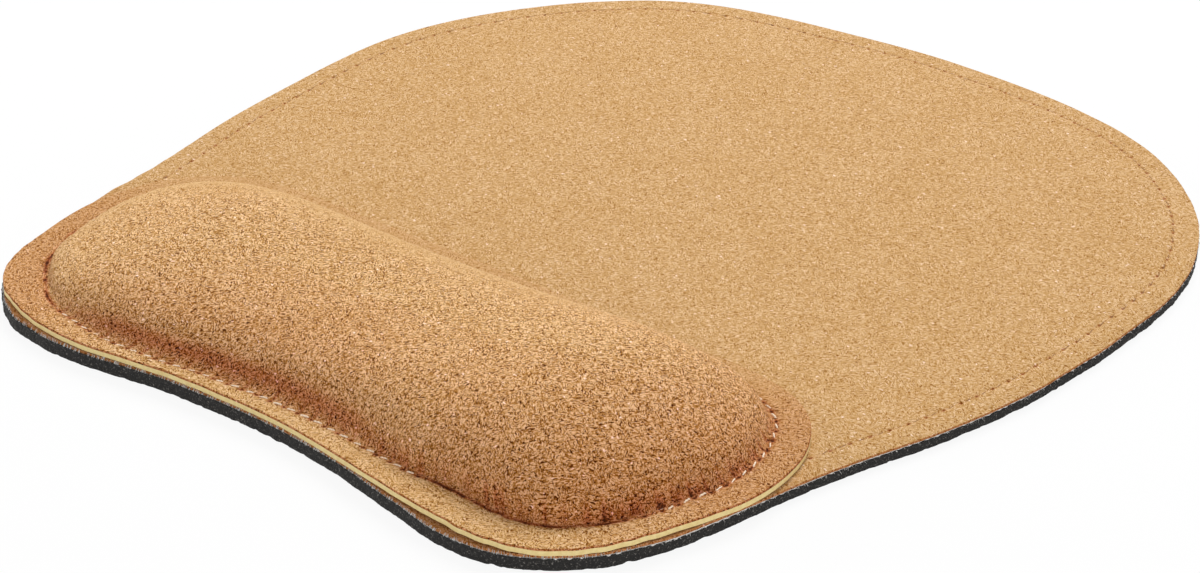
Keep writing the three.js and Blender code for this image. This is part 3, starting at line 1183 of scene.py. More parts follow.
    def nicks(self) -> np.ndarray:
        """Little nicks that the cutting left round the edge.

        Returns:
            How deep the edge is nicked at each share, from 0 to 1.
        """
        length = self.edge.length()
        count = int(length / self.nick_pitch_mm)
        rng = np.random.default_rng(Draw.NICKS)
        centre = (np.arange(count) + 0.5 + rng.normal(0, self.nick_stray, count)) / count
        size = rng.uniform(*self.nick_sizes, count)
        index = np.clip((self.shares * count).astype(int), 0, count - 1)
        away = (self.shares - centre[index]) * length
        away = np.abs(away + self.nick_shift_mm)
        return size[index] * np.clip(1 - away / self.nick_half_mm, 0, 1)

    def recess(self, rim: np.ndarray) -> np.ndarray:
        """How far the cloth and the cork stop short of the edge where the foam's rim swells up."""
        return self.ledge_mm * np.clip(rim / self.ledge_rim_mm, 0, 1)

    def droop(self, inset_mm: float) -> np.ndarray:
        """How far the layers hang down near the edge, as a height of 0 or less."""
        return np.minimum(self.rim, 0) * bump(inset_mm, self.droop_reach_mm)

    def build_foam(self) -> None:
        """Builds the foam base with its cut edge, and a groove under it for the bobbin thread."""
        low, high = box_mm("foam_base")
        start = -self.seam_inset_mm - self.groove_half_mm
        end = -self.seam_inset_mm + self.groove_half_mm
        roof = low.z + self.groove_mm
        rings = [
            self.ring(start, low.z),
            self.ring(start + self.groove_slope_mm, roof),
            self.ring(end - self.groove_slope_mm, roof),
            self.ring(end, low.z),
        ]
        nicks = self.nicks()
        coarse = wander(self.shares, *self.foam_waves, Draw.FOAM_WAVES)
        torn = np.maximum(wander(self.shares, *self.torn_foot, Draw.TORN_FOOT), 0)
        for k, level in enumerate(self.foam_levels):
            rough = wander(self.shares, *self.foam_rough, Draw.FOAM_ROUGH + k)
            rough = rough + wander(self.shares, *self.foam_fine, Draw.FOAM_FINE + k)
            rounding = -self.foot_round_mm * max(0.0, 1 - level / self.foot_round_to) ** 2
            upper = np.clip((level - self.nick_from) / (1 - self.nick_from), 0, 1)
            away = coarse + rough + rounding - self.nick_mm * nicks * upper**2
            height = low.z + (high.z - low.z + self.rim) * level
            height = height + torn * max(0.0, 1 - level / self.torn_to)
            rings.append(self.ring(away - self.foam_inset_mm, height))
        lip = high.z + np.maximum(self.rim, 0) + self.droop(self.foam_lip_mm)
        rings += [
            self.ring(-self.foam_lip_mm, lip - self.foam_lip_drop_mm),
            self.ring(-self.ledge_mm + self.ledge_slope_mm, high.z + self.droop(self.ledge_mm)),
            self.ring(-self.foam_flat_from_mm, high.z),
        ]
        piece = Piece("pad_foam")
        piece.add_rings(rings)
        foam = piece.build(BLACK_FOAM.make(), "black_foam", ["foam_base"])

    def build_backing(self) -> None:
        """Builds the cloth between foam and cork, whose frayed edge shows as a pale line."""
        low, high = box_mm("pad_cloth_backing")
        nicks, inner = self.nicks(), -self.cloth_flat_from_mm
        rings = [self.ring(inner, low.z)]
        for level in self.cloth_levels:
            rough = wander(self.shares, *self.cloth_rough, Draw.CLOTH_EDGE + int(level * 10))
            away = rough - self.cloth_inset_mm - self.recess(self.rim) + self.nick_mm * nicks
            away = away + self.cloth_draw * np.minimum(self.rim, 0)
            rings.append(self.ring(away, low.z + (high.z - low.z) * level + self.droop(0.0)))
        piece = Piece("pad_backing")
        piece.add_rings([*rings, self.ring(inner, high.z)])
        cloth = piece.build(BACKING_CLOTH.make(), "backing_cloth", ["pad_cloth_backing"])

    def build_fray(self) -> None:
        """Builds short yarn ends that stand out of the cloth's edge, or up behind the ledge."""
        low, high = box_mm("pad_cloth_backing")
        rng = np.random.default_rng(Draw.YARNS)
        at = np.sort(rng.uniform(0, 1, self.yarns))
        at = at[rng.uniform(0, 1, self.yarns) < read_table(self.fray_share, at)]
        each = (len(at), 1)
        out_bases, out_slopes = np.array(((-0.1, 0.02, 0.12, 0.14, 0.1), (0, 0, 0.1, 0.15, 0.15)))
        t = np.linspace(0, 1, len(out_bases))[None, :]
        out, plan = self.edge.outward(at), self.edge.at(at)
        side = np.stack([-out[:, 1], out[:, 0]], axis=1)
        length = np.clip(rng.gamma(3.0, 0.17, each) + 0.1, 0, 1.2)
        lean, curl = rng.normal(0.15, 0.2, each), rng.normal(0, 0.2, each)
        rim = read_table(self.rim_mm, at)[:, None]
        ledge = self.recess(rim)
        start = rng.uniform(low.z, high.z, each) + np.minimum(rim, 0)
        out_z = start - rng.uniform(0.2, 0.8, each) * length * t**1.5
        up_z = low.z + rim - 0.08 + (0.25 + 0.8 * np.minimum(length, 0.7)) * t
        up_reach = -0.15 - (ledge - 0.12) * t
        stands = ledge > 0.1
        reach = np.where(stands, up_reach, out_bases + out_slopes * length)
        z = np.where(stands, up_z, out_z)
        length = np.where(stands, np.minimum(length, 0.5), length)
        centres = plan[:, None, :] + out[:, None, :] * reach[..., None]
        centres = centres + side[:, None, :] * (length * (lean * t + curl * t**2))[..., None]
        radius = self.yarn_half_mm * (1 - 0.4 * t) * rng.uniform(0.7, 1.2, each)
        piece = Piece("pad_backing_fray")
        piece.add_strands(np.concatenate([centres, z[..., None]], axis=2),
                          with_height(side, 0.0)[:, None, :], radius, radius, sides=3)
        piece.build(BACKING_CLOTH.make(), "backing_cloth", (), NEVER_CRISP)

    def build_cork(self) -> None:
        """Builds the cork sheet, drawn down along its seam and pricked at each needle hole."""
        low, high = box_mm("pad_cork_cover")
        holes = hole_nearness(self.shares, self.seam.stitches(), self.pitch_mm, self.hole_mm)
        rough = wander(self.shares, *self.cork_rough, Draw.CORK_EDGE)
        recess = self.recess(self.rim)
        front = read_table(self.front_share, self.shares)
        rings, values = [], []
        for level, inset in ((0.0, 0.02), (0.25, 0.0), (0.7, 0.0), (0.9, 0.03)):
            height = low.z + (high.z - low.z) * level + self.droop(0.0)
            rings.append(self.ring(rough - inset - recess, height))
            # The cut edge takes a painted shade.
            values.append({"crease": self.edge_crease})
        for inset in self.cork_insets_mm:
            away = inset - self.seam_inset_mm
            pull, pit = bump(away, self.furrow_half_mm), holes * bump(away, self.hole_across_mm)
            drop = self.furrow_mm * pull * (0.55 + 0.45 * holes) + self.hole_depth_mm * pit
            short = recess * max(0.0, 1 - inset / self.recess_reach_mm)
            rings.append(self.ring(-inset - short, high.z - drop + self.droop(inset)))
            # Painted shade in the needle holes, along the furrow and near the front edge.
            crease = self.hole_crease * pit
            crease = crease + self.furrow_crease * pull * (0.3 + 0.7 * holes)
            crease = crease + self.front_shade * front * bump(inset, self.front_reach_mm)
            values.append({"crease": np.clip(crease, 0, 1)})
        piece = Piece("pad_cork")
        piece.add_rings(rings, values)
        cork = piece.build(PAD_CORK.make(), "pad_cork", ["pad_cork_cover"])

    def build_threads(self) -> None:
        """Builds the needle thread's stitches on the cork and the bobbin thread's in the groove."""
        needle, bobbin = Piece("pad_needle_stitches"), Piece("pad_bobbin_stitches")
        top = box_mm("pad_cork_cover")[1].z
        low, high = box_mm("pad_bobbin_thread")
        self.seam.add_to(needle, lambda at: top - self.needle_sink_mm, self.needle_dip_mm)
        self.seam.add_to(bobbin, lambda at: (low.z + high.z) / 2, self.bobbin_dip_mm)
        finish = BROWN_THREAD.make()
        needle.build(finish, "brown_thread", ["pad_needle_thread"], NEVER_CRISP)
        bobbin.build(finish, "brown_thread", ["pad_bobbin_thread"], NEVER_CRISP)

    def build(self) -> None:
        """Builds every piece of the pad."""
        self.build_foam()
        self.build_backing()
        self.build_fray()
        self.build_cork()
        self.build_threads()


def swell(piece: bpy.types.Object, cell_mm: float, cap_mm: float) -> None:
    """Lets a closed form swell in a short cloth simulation.

    Args:
        piece: The object, which keeps its place and material.
        cell_mm: Size of the even mesh that is simulated.
        cap_mm: How far a point may move.
    """
    graph = bpy.context.evaluated_depsgraph_get

    def points() -> np.ndarray:
        """Points of the piece with its modifiers.

        Returns:
            The points in metres.
        """
        mesh = piece.evaluated_get(graph()).data
        flat = np.zeros(len(mesh.vertices) * 3)
        mesh.vertices.foreach_get("co", flat)
        return flat.reshape(-1, 3)

    def bake(kind: str, **settings: object) -> None:
        """Applies one modifier to the piece's mesh.

        Args:
            kind: Type of the modifier.
            settings: Properties of the modifier.
        """
        modifier = piece.modifiers.new(kind.title(), kind)
        for name, value in settings.items():
            setattr(modifier, name, value)
        mesh = bpy.data.meshes.new_from_object(piece.evaluated_get(graph()))
        piece.modifiers.clear()
        piece.data = mesh

    bake("REMESH", mode="VOXEL", voxel_size=cell_mm * MM)
    start = points()
    cloth = piece.modifiers.new("Cloth", "CLOTH")
    cloth.settings.quality = 5
    cloth.settings.mass = 0.15
    cloth.settings.use_pressure = True
    cloth.settings.uniform_pressure_force = 4
    cloth.settings.effector_weights.gravity = 0
    cloth.point_cache.frame_start, cloth.point_cache.frame_end = 1, SWELL_FRAMES
    for frame_number in range(1, SWELL_FRAMES + 1):
        bpy.context.scene.frame_set(frame_number)
    moved = points() - start
    piece.modifiers.clear()
    bpy.context.scene.frame_set(1)
    reach = np.linalg.norm(moved, axis=1)[:, None]
    moved *= np.minimum(1, cap_mm * MM / np.maximum(reach, 1e-9))
    piece.data.vertices.foreach_set("co", (start + moved).reshape(-1))
    bake("SUBSURF", levels=1)
    piece.data.shade_smooth()


@dataclass
class WristRest:
    """The wrist rest: a base sheet, a filling, and a cork cover sewn to the sheet by its flange."""

    flange_mm: float = 7.0
    flange_narrowing_mm: float = 2.5
    flange_narrow_reach_mm: float = 32.0
    pitch_mm: float = 3.9
    cover_mm: float = 0.4
    cover_overlap_mm: float = 0.05
    cad_thread_half_mm: float = 0.4
    foot_inset_mm: float = 0.7
    sink_mm: float = 0.5
    hole_mm: float = 0.4
    hole_depth_mm: float = 0.3
    hole_across_mm: float = 0.3
    tuck_half_mm: float = 0.75
    tuck_depth_mm: float = 0.35
    tuck_reach_mm: float = 0.9
    # Where the painted shade of the little folds at each hole and the painted shadow line along the
    # seam lie.
    hook_at_mm: float = 0.35
    hook_reach_mm: float = 0.6
    thin_at_mm: float = 0.1
    foot_reach_mm: float = 2.2
    fold_at_mm: float = 2.2
    fold_reach_mm: float = 1.8
    folds_per_stitch: float = 1.7
    fold_mm: float = 0.5
    wrinkles_per_stitch: int = 5
    wrinkle_mm: float = 0.6
    wrinkle_depth: float = 0.3
    # How strong the painted shade in the wrinkles is.
    wrinkle_crease: float = 0.8
    crinkle_at_mm: float = 1.0
    crinkle_reach_mm: float = 0.9
    buried_ease: float = 0.4
    base_inner_mm: float = 3.0
    base_rough: Ripple = (500, 0.02)
    furrow_depth_mm: float = 0.16
    furrow_half_mm: float = 0.5
    dip_mm: float = 0.12
    dip_reach_mm: float = 1.6
    needle_sink_mm: float = 0.1
    buried_sink_mm: float = 0.85
    needle_dip_mm: float = 0.55
    half_length_mm: float = 90.1
    ridge_half_mm: float = 55.0
    fullness: float = 3.0
    shoulder: float = 0.6
    valley_least_mm: float = 0.3
    valley_power: float = 1.5
    dome_spacing: float = 1.7
    dome_end: float = 0.985
    overhang_reach_mm: float = 9.0
    # Painted shade on the dome: a band near its foot and a fainter shade fading up it.
    near_shade: float = 0.3
    far_shade: float = 0.17
    far_reach_mm: float = 20.0
    seam_stray_mm: Table = (
        (0, 0.3), (0.03, 0), (0.06, 0), (0.09, -0.3), (0.107, -1.5), (0.117, -1.5), (0.13, -0.8),
        (0.142, 0.3), (0.15, 1.5), (0.16, 2.4), (0.17, 2.7), (0.18, 2.3), (0.19, 1.6), (0.2, 1),
        (0.215, 0.5), (0.23, 0), (0.245, 0.4), (0.26, 0), (0.28, -0.3), (0.295, -0.4), (0.31, 0),
        (0.335, 0), (0.345, -0.5), (0.36, -0.6), (0.4, 0), (0.7, 0), (0.79, -0.4), (0.81, 0.2),
        (0.83, 0), (0.845, 0.7), (0.87, 0.5), (0.89, 1.3), (0.905, 2), (0.93, 2.1), (0.96, 1.2),
    )
    edge_stray_mm: Table = (
        (0, 0.2), (0.03, 0), (0.05, -0.1), (0.07, 0), (0.106, 0), (0.117, 0.25), (0.127, 0.6),
        (0.136, 1.6), (0.146, 2.6), (0.155, 3.6), (0.165, 3.9), (0.175, 3.3), (0.185, 2.3),
        (0.195, 1), (0.203, 0), (0.215, -0.6), (0.23, -0.4), (0.245, 0), (0.28, 0), (0.3, -0.2),
        (0.35, -0.8), (0.42, -1.7), (0.6, -2), (0.68, -1.6), (0.73, -0.9), (0.752, -0.5),
        (0.77, -0.4), (0.78, -0.3), (0.788, 0.05), (0.797, 0.9), (0.804, 1.5), (0.812, 2.1),
        (0.82, 2.3), (0.83, 2.1), (0.839, 1.2), (0.848, 0.6), (0.858, -0.1), (0.87, -0.5),
        (0.89, -0.6), (0.92, -0.9), (0.94, -0.9), (0.96, -0.4), (0.98, 0.1),
    )
    lift_mm: Table = (
        (0, 0), (0.05, 0), (0.07, 0.3), (0.09, 0.5), (0.11, 0.55), (0.125, 0.5), (0.145, 0.35),
        (0.165, 0.2), (0.185, 0.1), (0.21, 0),
    )
    valley_mm: Table = (
        (0, 3.2), (0.06, 3), (0.09, 1.6), (0.11, 0.5), (0.18, 0.5), (0.21, 1.4), (0.31, 1.6),
        (0.36, 1.2), (0.7, 1.2), (0.8, 0.5), (0.83, 0.7), (0.85, 1.6), (0.88, 2.6), (0.93, 3.2),
    )
    overhang_mm: Table = (
        (0, 0), (0.07, 0), (0.095, 0.5), (0.115, 0.9), (0.16, 0.9), (0.19, 0.4), (0.22, 0.1),
        (0.5, 0.2), (0.75, 0.7), (0.8, 1.1), (0.835, 0.6), (0.855, 0.1), (0.87, 0),
    )
    # Painted shade along the dome's foot: where its band lies, how wide it is and how strong.
    near_shade_at_mm: Table = (
        (0, 3.3), (0.05, 2.8), (0.075, 1.5), (0.095, 0.4), (0.11, 0.2), (0.17, 0.3), (0.19, 0.6),
        (0.21, 1.5), (0.24, 0.8), (0.3, 0.3), (0.72, 0), (0.78, 0.3), (0.81, -0.6), (0.84, -0.9),
        (0.855, 0.5), (0.88, 2.4), (0.9, 3.2), (0.95, 3.4),
    )
    near_shade_reach_mm: Table = (
        (0, 1.25), (0.085, 1.2), (0.105, 0.4), (0.18, 0.5), (0.21, 1.2), (0.35, 1), (0.7, 0.5),
        (0.84, 0.7), (0.87, 1.25),
    )
    near_shade_share: Table = (
        (0, 1), (0.04, 0.9), (0.06, 0.5), (0.09, 0.4), (0.11, 1.15), (0.16, 1.15), (0.18, 0.9),
        (0.21, 0.55), (0.25, 0.35), (0.3, 0.2), (0.34, 0.2), (0.4, 0), (0.7, 0), (0.75, 0.2),
        (0.79, 0.5), (0.82, 0.1), (0.86, 0.15), (0.88, 0.55), (0.9, 1), (0.95, 1.15),
    )
    # How strong the fainter painted shade up the dome is.
    far_shade_share: Table = (
        (0, 1), (0.04, 0.9), (0.06, 0.7), (0.09, 0.7), (0.11, 1), (0.16, 1.25), (0.18, 1.4),
        (0.21, 1.35), (0.25, 1.3), (0.28, 1.1), (0.31, 0.6), (0.34, 0.2), (0.4, 0), (0.83, 0),
        (0.86, 0.4), (0.9, 0.9), (0.95, 1),
    )
    # Painted shadow on the flange next to the dome.
    flange_shade_share: Table = (
        (0, 0), (0.16, 0), (0.2, 0.06), (0.24, 0.14), (0.3, 0.14), (0.36, 0.06), (0.7, 0.06),
        (0.76, 0.13), (0.84, 0.12), (0.88, 0.05), (0.93, 0),
    )
    buried_share: Table = (
        (0, 0), (0.09, 0), (0.105, 1), (0.185, 1), (0.21, 0.3), (0.225, 0), (0.36, 0), (0.42, 1),
        (0.845, 1), (0.86, 0.2), (0.88, 0.15), (0.97, 0.15), (0.99, 0),
    )
    # Painted shade of the little folds at each hole, and how wide the painted shadow line along the
    # seam is.
    hook_share: Table = ((0, 1.2), (0.2, 0.9), (0.23, 0.45), (0.34, 0.3), (0.9, 0.6), (0.95, 1.2))
    thin_mm: Table = ((0, 0.35), (0.75, 0.35), (0.775, 1.1), (0.79, 0.5), (0.81, 0.35))
    # How calm and even the cover's grain is; the paler calm colour on the dome's back is partly a
    # painted sheen.
    calm_share: Table = (
        (0, 0.4), (0.1, 0.4), (0.22, 0.3), (0.3, 0.5), (0.36, 0.8), (0.68, 0.9), (0.76, 0.6),
        (0.81, 0.35), (0.86, 0.15), (0.92, 0.2), (0.97, 0.4),
    )
    calm_mm: Table = (
        (0, 1), (0.3, 1), (0.36, 9), (0.45, 14), (0.7, 15), (0.78, 10), (0.83, 3), (0.9, 1),
    )
    pucker_mm: Table = (
        (0, 0.2), (0.1, 0.25), (0.16, 0.4), (0.22, 0.5), (0.27, 0.35), (0.34, 0.25), (0.5, 0.2),
        (0.74, 0.3), (0.8, 0.4), (0.85, 0.3), (0.9, 0.2),
    )
    crown_mm: Table = (
        (-88, 6.7), (-72, 7.8), (-54, 9.7), (-36, 9.3), (-18, 9.2), (0, 9.9), (18, 11.4),
        (36, 13.7), (54, 15.6), (72, 14.3), (88, 10.8),
    )
    dome_rings: int = 36
    steps: tuple[float, ...] = (0, 0.05, 0.11, 0.2, 0.32, 0.5, 0.68, 0.8, 0.89, 0.95)
    furrow_mm: tuple[float, ...] = (
        1.3, 1.0, 0.75, 0.55, 0.38, 0.25, 0.14, 0.06, 0.0, -0.06, -0.14, -0.25, -0.38, -0.5,
    )
    plain: PlanLine = field(init=False)
    line: PlanLine = field(init=False)
    seam: Seam = field(init=False)
    shares: np.ndarray = field(init=False)
    middle: float = field(init=False)
    flange_top: float = field(init=False)

    def __post_init__(self) -> None:
        """Sets out the seam and the shares of every ring on the CAD part's own box."""
        low, high = box_mm("rest_needle_thread")
        half = Vector((self.cad_thread_half_mm, self.cad_thread_half_mm, 0.0))
        self.plain = PlanLine.from_shares(REST_HALF, low + half, high - half)
        self.line = self.plain.strayed(self.seam_stray_mm)
        self.middle = (low.y + high.y) / 2
        self.flange_top = low.z
        self.seam = Seam(
            line=self.line, pitch_mm=self.pitch_mm, half_width_mm=0.19, half_height_mm=0.17,
            reach_share=0.60, slant_mm=-0.28, seed=Draw.REST_STITCHES,
        )
        self.shares = stitch_shares(self.seam.stitches(), self.steps)

    def flange_point(self, shares: np.ndarray, share_out: float, inset_mm: float = 0.0) -> Points:
        """Plan points between the seam and the flange's cut edge.

        Args:
            shares: Shares of the seam.
            share_out: 0 at the seam and 1 at the edge.
            inset_mm: How far inside the edge the line's end is.

        Returns:
            The points.
        """
        out, place = self.plain.outward(shares), self.plain.at(shares)
        narrow = self.flange_narrowing_mm * np.clip(-out[:, 1], 0, None)
        narrow = narrow * bump(place[:, 0], self.flange_narrow_reach_mm)
        wide = self.flange_mm - narrow + read_table(self.edge_stray_mm, shares)
        start = self.line.at(shares)
        way = place + out * wide[:, None] - start
        length = np.linalg.norm(way, axis=1)[:, None]
        return start + way * share_out * (1 - inset_mm / length)

    def lift(self, shares: np.ndarray, share_out: float) -> np.ndarray:
        """How far the flange stands up off the pad."""
        return read_table(self.lift_mm, shares) * share_out**1.5

    def painted_seam_shade(self, shares: np.ndarray, inside_mm: np.ndarray) -> np.ndarray:
        """Painted shade near the seam: along the dome's foot, fading up the dome, and on the
        flange.

        Args:
            shares: Shares of the seam.
            inside_mm: Distances inside the seam, below 0 on the flange.

        Returns:
            How much painted shade the crease value gains at each share.
        """
        near = read_table(self.near_shade_share, shares) * self.near_shade
        near = near * bump(inside_mm - read_table(self.near_shade_at_mm, shares),
                           read_table(self.near_shade_reach_mm, shares))
        fade = np.exp(-np.clip(inside_mm, 0, None) / self.far_reach_mm)
        far = read_table(self.far_shade_share, shares) * self.far_shade
        far = far * fade * np.clip(inside_mm, 0, 1)
        return near + far + read_table(self.flange_shade_share, shares) * np.clip(1 - inside_mm, 0, 1)

    def shades(self, inside_mm: np.ndarray | float, crease: np.ndarray | float = 0.0) -> Values:
        """The cover's named values at distances inside the seam.

        Args:
            inside_mm: Distances inside the seam, below 0 on the flange.
            crease: Painted shade that the stitches and the cut edge add to the crease value.

        Returns:
            The crease value, which is painted shade, and how even the cork's grain is.
        """
        inside = np.broadcast_to(inside_mm, self.shares.shape)
        fade = bump(np.maximum(inside, 0), read_table(self.calm_mm, self.shares))
        calm = read_table(self.calm_share, self.shares) * fade
        return {"crease": np.clip(crease + self.painted_seam_shade(self.shares, inside), 0, 1), "calm": calm}

    def crown_at(self, x: np.ndarray) -> np.ndarray:
        """Height of the dome over the flange.

        Args:
            x: Places along the rest.

        Returns:
            The height at each place.
        """
        knots = np.array(self.crown_mm)
        i = np.clip(np.searchsorted(knots[:, 0], x, side="right") - 1, 0, len(knots) - 2)
        slope = np.gradient(knots[:, 1], knots[:, 0])
        span = knots[i + 1, 0] - knots[i, 0]
        t = np.clip((x - knots[i, 0]) / span, 0, 1)
        a, b = knots[i, 1], knots[i + 1, 1]
        ma, mb = slope[i] * span, slope[i + 1] * span
        return a + ma * t + (3 * b - 3 * a - 2 * ma - mb) * t**2 + (2 * a - 2 * b + ma + mb) * t**3

    def dome(self, shares: np.ndarray, share_out: float, inset_mm: float) -> Points:
        """A ring of the dome's skin over the flange's height.

        Args:
            shares: Shares of the seam.
            share_out: 1 at the dome's foot and 0 at its ridge.
            inset_mm: How far inside the seam the foot is.

        Returns:
            The points, with heights over the flange.
        """
        foot = self.line.moved(shares, -inset_mm)
        along = foot[:, 0] / self.half_length_mm * self.ridge_half_mm
        ridge = np.column_stack([along, np.full(len(foot), self.middle)])
        plan = ridge + share_out * (foot - ridge)
        inside = np.linalg.norm(foot - ridge, axis=1) * (1 - share_out)
        valley_mm = np.maximum(read_table(self.valley_mm, shares), self.valley_least_mm)
        valley = 1 - np.exp(-((inside / valley_mm) ** self.valley_power))
        profile = (1 - share_out**self.fullness) ** self.shoulder * valley
        lean = read_table(self.overhang_mm, shares) * 4 * profile * (1 - profile)
        lean = lean * bump(inside, self.overhang_reach_mm)
        plan = plan + self.line.outward(shares) * lean[:, None]
        return with_height(plan, self.crown_at(plan[:, 0]) * profile)

    def build_base(self) -> None:
        """Builds the khaki sheet, standing a little off the pad at the front right."""
        low, high = box_mm("rest_base_sheet")
        seam = self.line.at(self.shares)
        inner = self.line.moved(self.shares, -self.base_inner_mm)
        rough = self.line.outward(self.shares)
        rough = rough * wander(self.shares, *self.base_rough, Draw.BASE_EDGE)[:, None]

        def between(height: float, share_out: float) -> Points:
            """A ring of the sheet between the seam and the edge."""
            plan = self.flange_point(self.shares, share_out)
            return with_height(plan, height + self.lift(self.shares, share_out))

        rings = [with_height(plan, low.z) for plan in (inner, seam)]
        rings += [between(low.z, share_out) for share_out in (0.35, 0.7)]
        for inset, up in ((0.3, 0.0), (0.14, -0.05), (0.03, 0.0), (0.0, 0.16), (-0.02, 0.5),
                          (0.0, 1.0), (0.03, 1.13), (0.12, 1.17), (0.26, 1.0)):
            height = low.z + (high.z - low.z) * up + self.lift(self.shares, 1.0)
            rings.append(with_height(self.flange_point(self.shares, 1.0, inset) + rough, height))
        rings += [between(high.z, share_out) for share_out in (0.7, 0.35)]
        rings += [with_height(plan, high.z) for plan in (seam, inner)]
        piece = Piece("rest_base")
        piece.add_rings(rings)
        piece.build(KHAKI_SHEET.make(), "base_sheet", ["rest_base_sheet"])

    def cover_rings(self, foot_mm: float, drop_mm: float, skip: int) -> list[tuple[Points, Values]]:
        """Rings of the cover's upper side, from the flange's edge in to the ridge.

        Args:
            foot_mm: How far inside the seam the dome starts.
            drop_mm: How far the whole surface lies below the cork's upper side.
            skip: 1 for every ring, 2 for every second one in the furrow and every fourth above.

        Returns:
            Each ring with its named values.
        """
        shares, stitches = self.shares, self.seam.stitches()
        top, line = self.flange_top - drop_mm, self.line.at(shares)
        holes = hole_nearness(shares, stitches, self.pitch_mm, self.hole_mm)
        pucker = read_table(self.pucker_mm, shares)
        each = np.random.default_rng(Draw.HOLES).uniform(0.5, 1.5, stitches)
        each = each[np.round(shares * stitches).astype(int) % stitches]
        tucks = hole_nearness(shares, stitches, self.pitch_mm, self.tuck_half_mm) * each * pucker
        fold_knots = int(stitches * self.folds_per_stitch)
        folds = wander(shares, fold_knots, self.fold_mm, Draw.FOLDS) * pucker
        wrinkle_knots = stitches * self.wrinkles_per_stitch
        wrinkles = wander(shares, wrinkle_knots, self.wrinkle_mm, Draw.WRINKLES)
        wrinkles = np.maximum(wrinkles, 0) * pucker
        buried = read_table(self.buried_share, shares)
        # A broken painted shadow line along the seam, and painted shade in the little folds at each
        # hole.
        broken = np.clip(0.6 + 0.6 * wander(shares, stitches * 2, 1.0, Draw.BROKEN_LINE), 0, 1.3)
        hook_dark = read_table(self.hook_share, shares) * (1 - buried)

        def sunk(drop: np.ndarray) -> np.ndarray:
            """A drop that the cloth under the cork stops softly."""
            return self.sink_mm * (1 - np.exp(-np.maximum(drop, 0) / self.sink_mm))

        rings: list[tuple[Points, Values]] = []
        for inset, down in ((0.0, 0.14), (0.05, 0.05), (0.16, 0.01), (0.5, 0.0), (1.2, 0.0)):
            plan = self.flange_point(shares, 1.0, inset)
            spot = with_height(plan, top - down + self.lift(shares, 1.0))
            # The flange's cut edge takes a painted shade.
            rings.append((spot, self.shades(-6.0, 0.3 * (down > 0.03))))
        for share_out in (0.7, 0.5, 0.38, 0.27):
            plan = self.flange_point(shares, share_out)
            away = np.linalg.norm(plan - line, axis=1)
            dip = self.dip_mm * bump(away, self.dip_reach_mm)
            height = top + self.lift(shares, share_out) - dip
            rings.append((with_height(plan, height), self.shades(-away)))
        for away in self.furrow_mm[::skip]:
            pull, pit = bump(away, self.furrow_half_mm), holes * bump(away, self.hole_across_mm)
            dip = self.dip_mm * bump(away, self.dip_reach_mm)
            furrow = self.furrow_depth_mm * pull * (0.5 + 0.5 * holes)
            drop = dip + furrow + self.hole_depth_mm * pit
            drop = drop + self.tuck_depth_mm * (tucks * bump(away, self.tuck_reach_mm))
            # Painted shade in the needle holes, the furrow and the little folds, and a painted
            # shadow line where the dome hangs over the seam.
            hook = holes * each * pucker * bump(away - self.hook_at_mm, self.hook_reach_mm)
            thin = bump(away - self.thin_at_mm, read_table(self.thin_mm, shares)) * broken
            crease = (0.7 - 0.5 * buried) * pit + 0.1 * pull + hook_dark * hook
            crease = crease + (0.15 + 0.45 * buried) * thin
            height = top - sunk(drop * (1 - self.buried_ease * buried))
            spot = with_height(self.line.moved(shares, away), height)
            rings.append((spot, self.shades(-away, crease)))
        steps_in = np.linspace(0, 1, self.dome_rings // skip**2) ** self.dome_spacing
        for share_in in steps_in * self.dome_end:
            spot = self.dome(shares, 1 - share_in, foot_mm)
            inside = np.linalg.norm(spot[:, :2] - line, axis=1)
            near = bump(inside, self.foot_reach_mm)
            crinkle = bump(inside - self.crinkle_at_mm, self.crinkle_reach_mm)
            fold = folds * bump(inside - self.fold_at_mm, self.fold_reach_mm)
            spot[:, 2] += top - sunk((self.dip_mm + tucks) * near) + fold
            spot[:, 2] -= self.wrinkle_depth * wrinkles * crinkle
            # Painted shade near the holes at the dome's foot and in its wrinkles.
            crease = 0.3 * holes * each * near * (1 - 0.6 * buried)
            crease = crease + self.wrinkle_crease * wrinkles * crinkle
            rings.append((spot, self.shades(inside, crease)))
        return rings

    def build_cover(self) -> None:
        """Builds the cork cover: a flat flange, a sewn furrow, and the skin of the dome."""
        over = self.cover_rings(self.foot_inset_mm, 0.0, 1)
        drop_mm = self.cover_mm - self.cover_overlap_mm
        under = self.cover_rings(self.foot_inset_mm + self.cover_mm, drop_mm, 2)
        rings = [ring for ring, _ in under[::-1]] + [ring for ring, _ in over]
        # The cover's hidden underside takes a half painted shade.
        values = [{"crease": 0.5, "calm": 0.0} for _ in under] + [value for _, value in over]
        piece = Piece("rest_cover")
        piece.add_rings(rings, values, (False, False))
        cover = piece.build(REST_CORK.make(), "rest_cork", ["rest_cork_cover"])

    def build_backing(self) -> None:
        """Builds the thin cloth behind the cork, drawn back a little at the flange's edge."""
        low = box_mm("rest_cloth_backing")[0].z
        shares, sides = self.shares[::2], []
        for thick in (0.0, 1.0):
            side = []
            for share_out, inset, height in ((1.0, 0.32, 0.2), (0.5, 0.0, 0.2), (0.3, 0.0, 0.16),
                                             (0.18, 0.0, 0.06)):
                level = low + 0.02 + height * thick * 0.9 + self.lift(shares, share_out)
                side.append(with_height(self.flange_point(shares, share_out, inset), level))
            sides.append(side)
        under, over = (with_height(self.line.moved(shares, -0.9), low + z) for z in (0.02, 0.07))
        piece = Piece("rest_backing")
        piece.add_rings([under, *sides[0][::-1], *sides[1], over])
        cloth = piece.build(BACKING_CLOTH.make(), "backing_cloth", ["rest_cloth_backing"])

